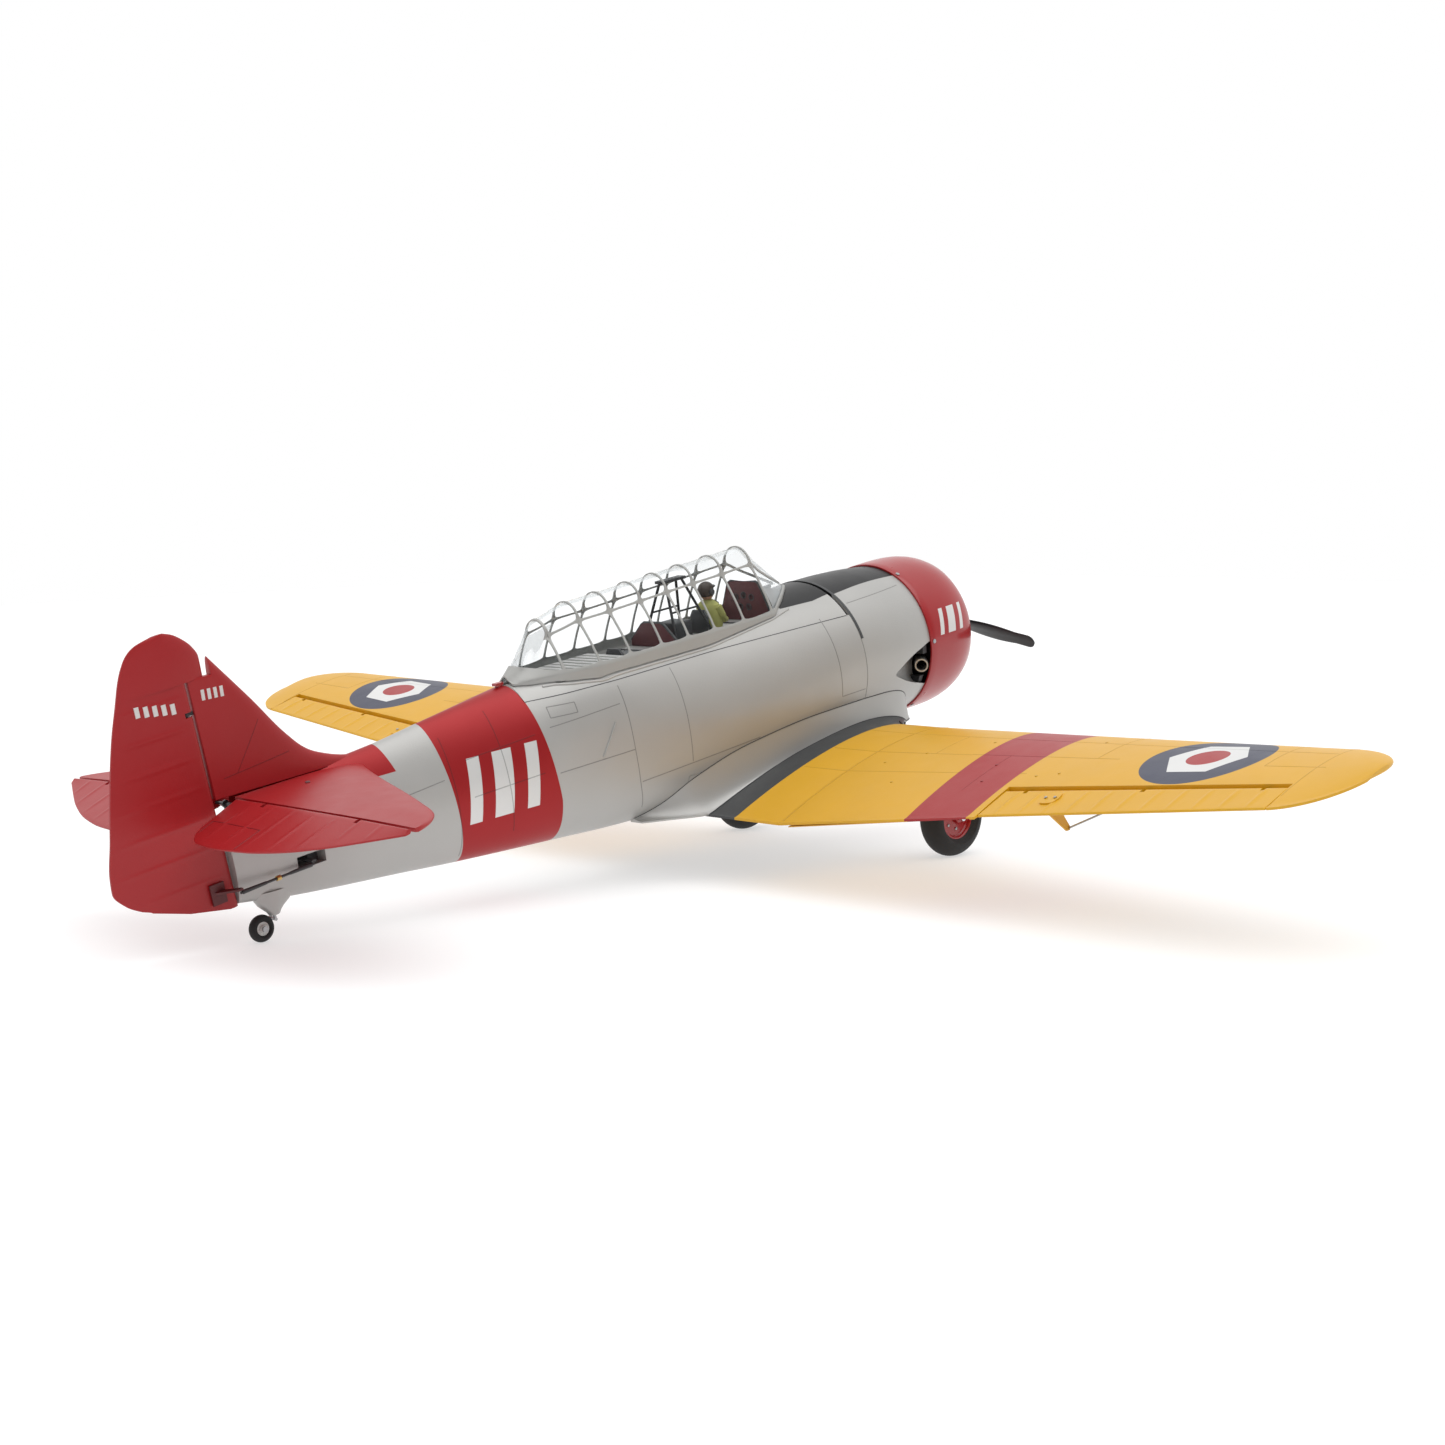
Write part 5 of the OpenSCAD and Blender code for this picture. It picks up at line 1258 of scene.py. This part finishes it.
# The pilot: a plain figure with calm, even features
def figure():
    base = at(363, 0, 63)
    out = []
    body = []
    for z, rx, ry in ((0, 10, 13), (3, 11, 14.6), (10, 11, 14), (18, 10.4, 14.6), (24, 8.6, 13.6),
                      (27.5, 5.5, 8.5), (29, 4.2, 5)):
        a = circle(32)
        body.append(np.stack([rx * 0.9 * np.cos(a), ry * np.sin(a), np.full(32, z)], 1))
    out.append(loft("torso", put(base, body), vest, angle=60))
    for sg in (1, -1):
        out.append(tube("arm", [(0, sg * 13, 22), (3, sg * 14.5, 14), (9, sg * 11, 7), (15, sg * 7, 6)],
                        [4.2, 3.8, 3.3, 2.9], base, vest, steps=16))
        out.append(tube("strap", [(9.6, sg * 4.2, 6), (10.0, sg * 4.6, 16), (8.6, sg * 5.4, 24),
                                  (3, sg * 6.2, 27.3)], 0.9, base, dark_part, steps=10))
    head = base @ shift(0, 0, 36.4)
    n = 40
    rings = []
    for v in run(-0.97, 0.97, 33):
        t = math.asin(v)
        a = circle(n)
        r = math.cos(t)
        x, y, z = 7.6 * r * np.cos(a), 6.6 * r * np.sin(a), np.full(n, 9.0 * v)
        chin = np.clip((-v - 0.2) / 0.8, 0, 1)
        y = y * (1 - 0.22 * chin)
        face = np.clip(np.cos(a), 0, 1)
        # nose, brow, eye hollows, lips: all symmetrical and plain
        nose = 2.0 * np.exp(-(y / 1.1) ** 2 - ((z + 0.8) / 1.9) ** 2)
        brow = 0.5 * np.exp(-((np.abs(y) - 2.6) / 2.0) ** 2 - ((z - 2.2) / 0.9) ** 2)
        eye = -0.7 * np.exp(-((np.abs(y) - 2.6) / 1.2) ** 2 - ((z - 0.7) / 0.9) ** 2)
        lips = 0.5 * np.exp(-(y / 2.0) ** 2 - ((z + 4.1) / 0.7) ** 2)
        jaw = 0.5 * np.exp(-(y / 2.4) ** 2 - ((z + 7.0) / 1.4) ** 2)
        x = x + face * (nose + brow + eye + lips + jaw)
        rings.append(np.stack([x, y, z], 1))
    out.append(loft("face", put(head, rings), skin_tone, angle=80))
    shell = []
    for v in run(-0.55, 0.985, 28):
        a = circle(n)
        r = math.sqrt(1 - v * v)
        open_front = np.clip((0.30 - v) * 4, 0, 1) * np.clip((np.cos(a) - 0.35) * 3.2, 0, 1)
        x = (9.2 * r * np.cos(a) - 0.8) * (1 - 0.55 * open_front)
        y = 8.3 * r * np.sin(a)
        shell.append(np.stack([x, y, 1.2 + 9.6 * v + 0 * a], 1))
    out.append(loft("helmet", put(head, shell), helmet, angle=70))
    rim = [(9.1 * math.cos(a) - 0.9 + 0.6, 8.5 * math.sin(a), 4.9 + 0.4 * math.cos(a)) for a in
           run(-1.25, 1.25, 18)]
    out.append(tube("helmet_rim", rim, 0.7, head, dark_part, steps=10))
    for sg in (1, -1):
        out.append(lathe("ear_cup", [(0.001, 0), (3.4, 0), (3.4, 1.4), (2.4, 2.2), (0.001, 2.2)],
                         head @ shift(-0.6, sg * 7.2, 0.2) @ turn(-90 * sg, "X"), dark_part, "Z", 24))
        eye = head @ shift(6.7, sg * 2.5, 0.7)
        out.append(lathe("eye", [(0.001, -0.9), (0.55, -0.7), (0.9, 0), (0.55, 0.7), (0.001, 0.9)], eye,
                         white_part, "Z", 16))
        out.append(lathe("iris", [(0.001, -0.2), (0.42, -0.2), (0.42, 0.15), (0.001, 0.15)],
                         eye @ shift(0.82, 0, 0) @ turn(90, "Y"), dark_part, "Z", 14))
    return join("pilot_figure", out)


part(figure(), "hatch", "figure_paint", "pilot")


# ------------------------------------------------------------------ propeller
def blade_ring(r, n=22):
    t = r / 130
    w = 9 + 15 * math.sin(math.radians(min(1, t * 1.25) * 150)) * (1 - 0.25 * t)
    w *= math.sqrt(max(0.02, 1 - (max(0, t - 0.93) / 0.07) ** 2))
    a, th = math.radians(62 - 48 * t ** 0.6), (3.2 + (0.6 - 3.2) * t) * 0.95
    out = []
    for q in circle(n):
        u, v = math.cos(q) * w / 2, math.sin(q) * th * (0.75 if math.cos(q) > 0 else 1)
        v = v * (1 - 0.25 * math.cos(q)) + th * 0.15 * (1 - math.cos(q) ** 2)
        out.append((-12 + u * math.sin(a) + v * math.cos(a), r, u * math.cos(a) - v * math.sin(a)))
    return out


tilted = AIR @ turn(10.6, "X")
blades = []
for k in (0, 180):
    m = tilted @ turn(k, "X")
    blades.append(loft("blade", put(m, [blade_ring(t * 130) for t in np.concatenate(
        [run(0.05, 0.92, 40), run(0.93, 0.999, 10)])]), black_part, angle=60))
blades.append(lathe("hub", [(2.6, -6), (8.6, -6), (10, -7.2), (10, -16.8), (8.8, -18), (2.6, -18)],
                    AIR, black_part, steps=64))
part(join("propeller_blades", blades), "propeller", "black_plastic", "propeller")


# ------------------------------------------------------------------ wheels
def tyre_profile(r, w, bore):
    """Round shoulders, a smooth crown and a bead at the rim."""
    out = [(bore, -w * 0.3), (bore + 0.4, -w * 0.31)]
    for k in range(25):
        a = math.radians(-90 + 7.5 * k)
        out.append((r - w * 0.46 + w * 0.46 * math.cos(a), w / 2 * math.sin(a)))
    return out + [(bore + 0.4, w * 0.31), (bore, w * 0.3)]


for word, m in SIDES:
    axle = m @ shift(-204, 151, -163.5)
    tyre = lathe(word + "_tyre_rubber", tyre_profile(41, 28, 23), axle, rubber, "Y", 128)
    part(tyre, word + "_wheel", "tyre", word + "_tyre")
    # Dished hub: outer lip, deep face and a centre boss, one side like the other
    prof_hub = [(2.06, -11), (5.4, -11), (6, -10.4), (6, -5.6), (8, -4.4), (19.2, -4.4), (20.6, -5.6),
                (21.0, -7.8), (21.6, -8.4), (22.9, -8.4), (22.9, 8.4), (21.6, 8.4), (21.0, 7.8),
                (20.6, 5.6), (19.2, 4.4), (8, 4.4), (6, 5.6), (6, 11.4), (5.4, 12), (2.06, 12)]
    hub = lathe(word + "_hub_disc", prof_hub, axle, red_glossy, "Y", 96)
    bits = [hub]
    for k in range(6):
        a = math.radians(60 * k + 30)
        for sg in (1, -1):
            bits.append(lathe("bolt", [(0.001, 3.9), (1.6, 3.9), (1.6, 5.3), (1.2, 5.6), (0.001, 5.6)],
                              axle @ shift(13 * math.cos(a), 0, 13 * math.sin(a)) @ turn(-90 * sg, "X"),
                              steel, "Z", 14))
    part(join(word + "_wheel_hub_red", bits), word + "_wheel", "red_plastic", word + "_wheel_hub")
axle = at(934, 0, -80)
tail_tyre = lathe("tail_tyre_rubber", tyre_profile(12, 9, 6), axle, rubber, "Y", 80)
part(tail_tyre, "tail_wheel", "tyre", "tail_tyre")
tail_hub = lathe("tail_hub_disc", [(1.56, -5), (3.4, -5), (3.4, -2.4), (4.6, -2.0), (5.4, -2.7),
                                   (6.0, -2.7), (6.0, 2.7), (5.4, 2.7), (4.6, 2.0), (3.4, 2.4),
                                   (3.4, 5), (1.56, 5)],
                 axle, white_part, "Y", 64)
part(tail_hub, "tail_wheel", "white_plastic", "tail_wheel_hub")


# ------------------------------------------------------------------ small things at the tail
def side_bars(name, m, body, rows, thick):
    """Thin white bars laid on both faces of the fin or rudder: (x, h, width, height)."""
    made = []
    for x, h, w, tall in rows:
        for sg in (1, -1):
            y = sg * (thick(x, h) + 0.02)
            o = [(x + i * w / 2, h + j * tall / 2) for i, j in ((-1, -1), (1, -1), (1, 1), (-1, 1))]
            made.append(plate("bar", o, sorted((y - sg * 0.8, y + sg * 0.12)), m, white_part))
    part(join(name, made), body, "white_plastic")


def rudder_half(x, h):
    reach, nose = float(RUD_TE(h)), 4.4
    return 0.9 + (nose - 0.9) * (1 + x / reach) + 0.45


def fin_half(x, z):
    le, te, half = fin_edges(z)
    u = np.array([np.clip((-x - le) / (te - le), 0.02, 1)])
    return float(section_width(u, half)[0])


side_bars("rudder_code_bars", RUDDER_AIR, "rudder",
          [(-13 - 8 * k, 179 + 1.6 * k, 4.2, 9) for k in range(5)], rudder_half)
side_bars("fin_code_bars", AIR, "airframe", [(-935 - 6 * k, 129.4 + 0.2 * k, 3.2, 9) for k in range(4)],
          lambda x, z: fin_half(x, z) + 0.12)

# Boot round the tail-wheel leg
boot = []
for z, cs, la, lb in ((-49, 917, 20, 11), (-56, 917, 19.5, 10.5), (-61, 918, 15.5, 8.5),
                      (-65, 919, 10.5, 6.8), (-68, 919, 7.2, 5.6), (-70.9, 919, 5.4, 4.9),
                      (-71.6, 919, 4.6, 4.2)):
    a = circle(40)
    boot.append(np.stack([-cs + la * np.cos(a), lb * np.sin(a), np.full(40, z)], 1))
boot = loft("tail_wheel_boot", put(AIR, boot), silver_part, angle=60)
carve(boot, "DIFFERENCE", lathe("cutter", [(0.001, -80), (1.8, -80), (1.8, -40), (0.001, -40)],
                                at(919, 0, 0), silver_part, "Z", 24))
part(boot, "airframe", "silver_foam", "tail_wheel_bearing")


# Clevises and a brass stop on the rudder's pushrod
plane = RUDDER_AIR @ shift(0, 0, 17)
rod = [tube("clevis", [(x0, y0, -2.2), (x1, y1, -2.2)], [2.0, 1.5], plane, dark_part, steps=12)
       for x0, y0, x1, y1 in ((72, -21.95, 50, -21.35), (2, -20.05, 26, -20.7))]
rod.append(tube("stop", [(36, -20.97, -2.2), (40, -21.08, -2.2)], 2.3, plane, brass, steps=12))
part(join("rudder_rod_ends", rod), "rudder_rod", "black_plastic")


# Panel lines on the fin, both sides
seams = []
for word, m in SIDES:
    for a, b in (((-905, 98), (-934, 58)), ((-880, 64), (-934, 58)), ((-934, 58), (-948, 56.6))):
        line = [np.array(a) * (1 - t) + np.array(b) * t for t in run(0, 1, 10)]
        p = [(x, -fin_half(x, z), z) for x, z in line]
        seams.append(ribbon(p, [(0, -1.0, 0.0)] * 10, 0.8, m, red_seam, 0.12))
part(join("fin_panel_lines", seams), "airframe", "red_foam")


# ------------------------------------------------------------------ finishes of the CAD's own pieces
FINISHES = (
    ("screws prop_nut tail_wheel_leg motor_stator", steel),
    ("left_aileron_pushrod right_aileron_pushrod elevator_pushrod", steel),
    ("spar_tubes elevator_joiner", carbon),
    ("dummy_engine", engine_grey),
    ("motor_mount motor_bell", black_part),
    ("exhaust_pipe", exhaust_metal),
    ("battery", wrap),
    ("speed_controller receiver servos retract_units hinges rudder_pushrod", dark_part),
    ("left_aileron_arm right_aileron_arm elevator_arm rudder_arm", dark_part),
    ("left_gear_leg right_gear_leg", aluminium),
    ("left_aileron_horn right_aileron_horn", yellow_part),
    ("rudder_horn", horn_red),
    ("hatch_latch", red_glossy),
)
for names, material in FINISHES:
    for node in names.split():
        slots = frame["nodes"][node].data.materials
        slots.clear()
        slots.append(material)

# ------------------------------------------------------------------ floor, light and camera
ground = mesh_object("floor_sweep", [(-6, -6, 0), (6, -6, 0), (6, 6, 0), (-6, 6, 0)], [(0, 1, 2, 3)],
                     floor_white)
ground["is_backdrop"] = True

# The camera's heading, tilt and lean in radians, its place in metres and its lens in millimetres
YAW, PITCH, ROLL = 0.79694, -0.1009058, -0.0168638
EYE = (-1.49261, -1.69673, 0.38335)
FOCAL = 58.52


def studio():
    """White towards the backdrop, darker from the camera's side."""
    world = bpy.data.worlds.new("studio")
    bpy.context.scene.world = world
    world.use_nodes = True
    tree = world.node_tree
    sky = tree.nodes["Background"]
    sky.inputs["Color"].default_value = (1, 1, 1, 1)
    ray, dot, ramp = (tree.nodes.new("ShaderNode" + kind)
                      for kind in ("TexCoord", "VectorMath", "MapRange"))
    dot.operation = "DOT_PRODUCT"
    dot.inputs[1].default_value = (math.cos(YAW), math.sin(YAW), 0.35)
    ramp.interpolation_type = "SMOOTHSTEP"
    for i, v in ((1, -0.45), (2, 0.55), (3, 0.16), (4, 1.0)):
        ramp.inputs[i].default_value = v
    tree.links.new(ray.outputs["Generated"], dot.inputs[0])
    tree.links.new(dot.outputs["Value"], ramp.inputs[0])
    tree.links.new(ramp.outputs[0], sky.inputs["Strength"])


studio()
sun = bpy.data.lights.new("soft_top", "SUN")
sun.energy, sun.angle = 1.9, math.radians(80)
lamp = bpy.data.objects.new("soft_top", sun)
collection.objects.link(lamp)
lamp.rotation_euler = Vector((0.25, 0.35, -1.0)).to_track_quat("-Z", "Y").to_euler()
lamp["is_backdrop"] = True

view = np.array([math.cos(YAW) * math.cos(PITCH), math.sin(YAW) * math.cos(PITCH), math.sin(PITCH)])
right = np.cross(view, [0, 0, 1])
right /= np.linalg.norm(right)
above = np.cross(right, view)
right, above = (right * math.cos(ROLL) + above * math.sin(ROLL),
                -right * math.sin(ROLL) + above * math.cos(ROLL))
lens = bpy.data.cameras.new("camera")
lens.lens, lens.sensor_width, lens.clip_end = FOCAL, 36, 50
camera = bpy.data.objects.new("camera", lens)
collection.objects.link(camera)
pose = np.eye(4)
pose[:3, 0], pose[:3, 1], pose[:3, 2], pose[:3, 3] = right, above, -view, EYE
camera.matrix_world = Matrix(pose)
bpy.context.scene.camera = camera
bpy.context.scene.view_settings.view_transform = "Standard"

low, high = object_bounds()
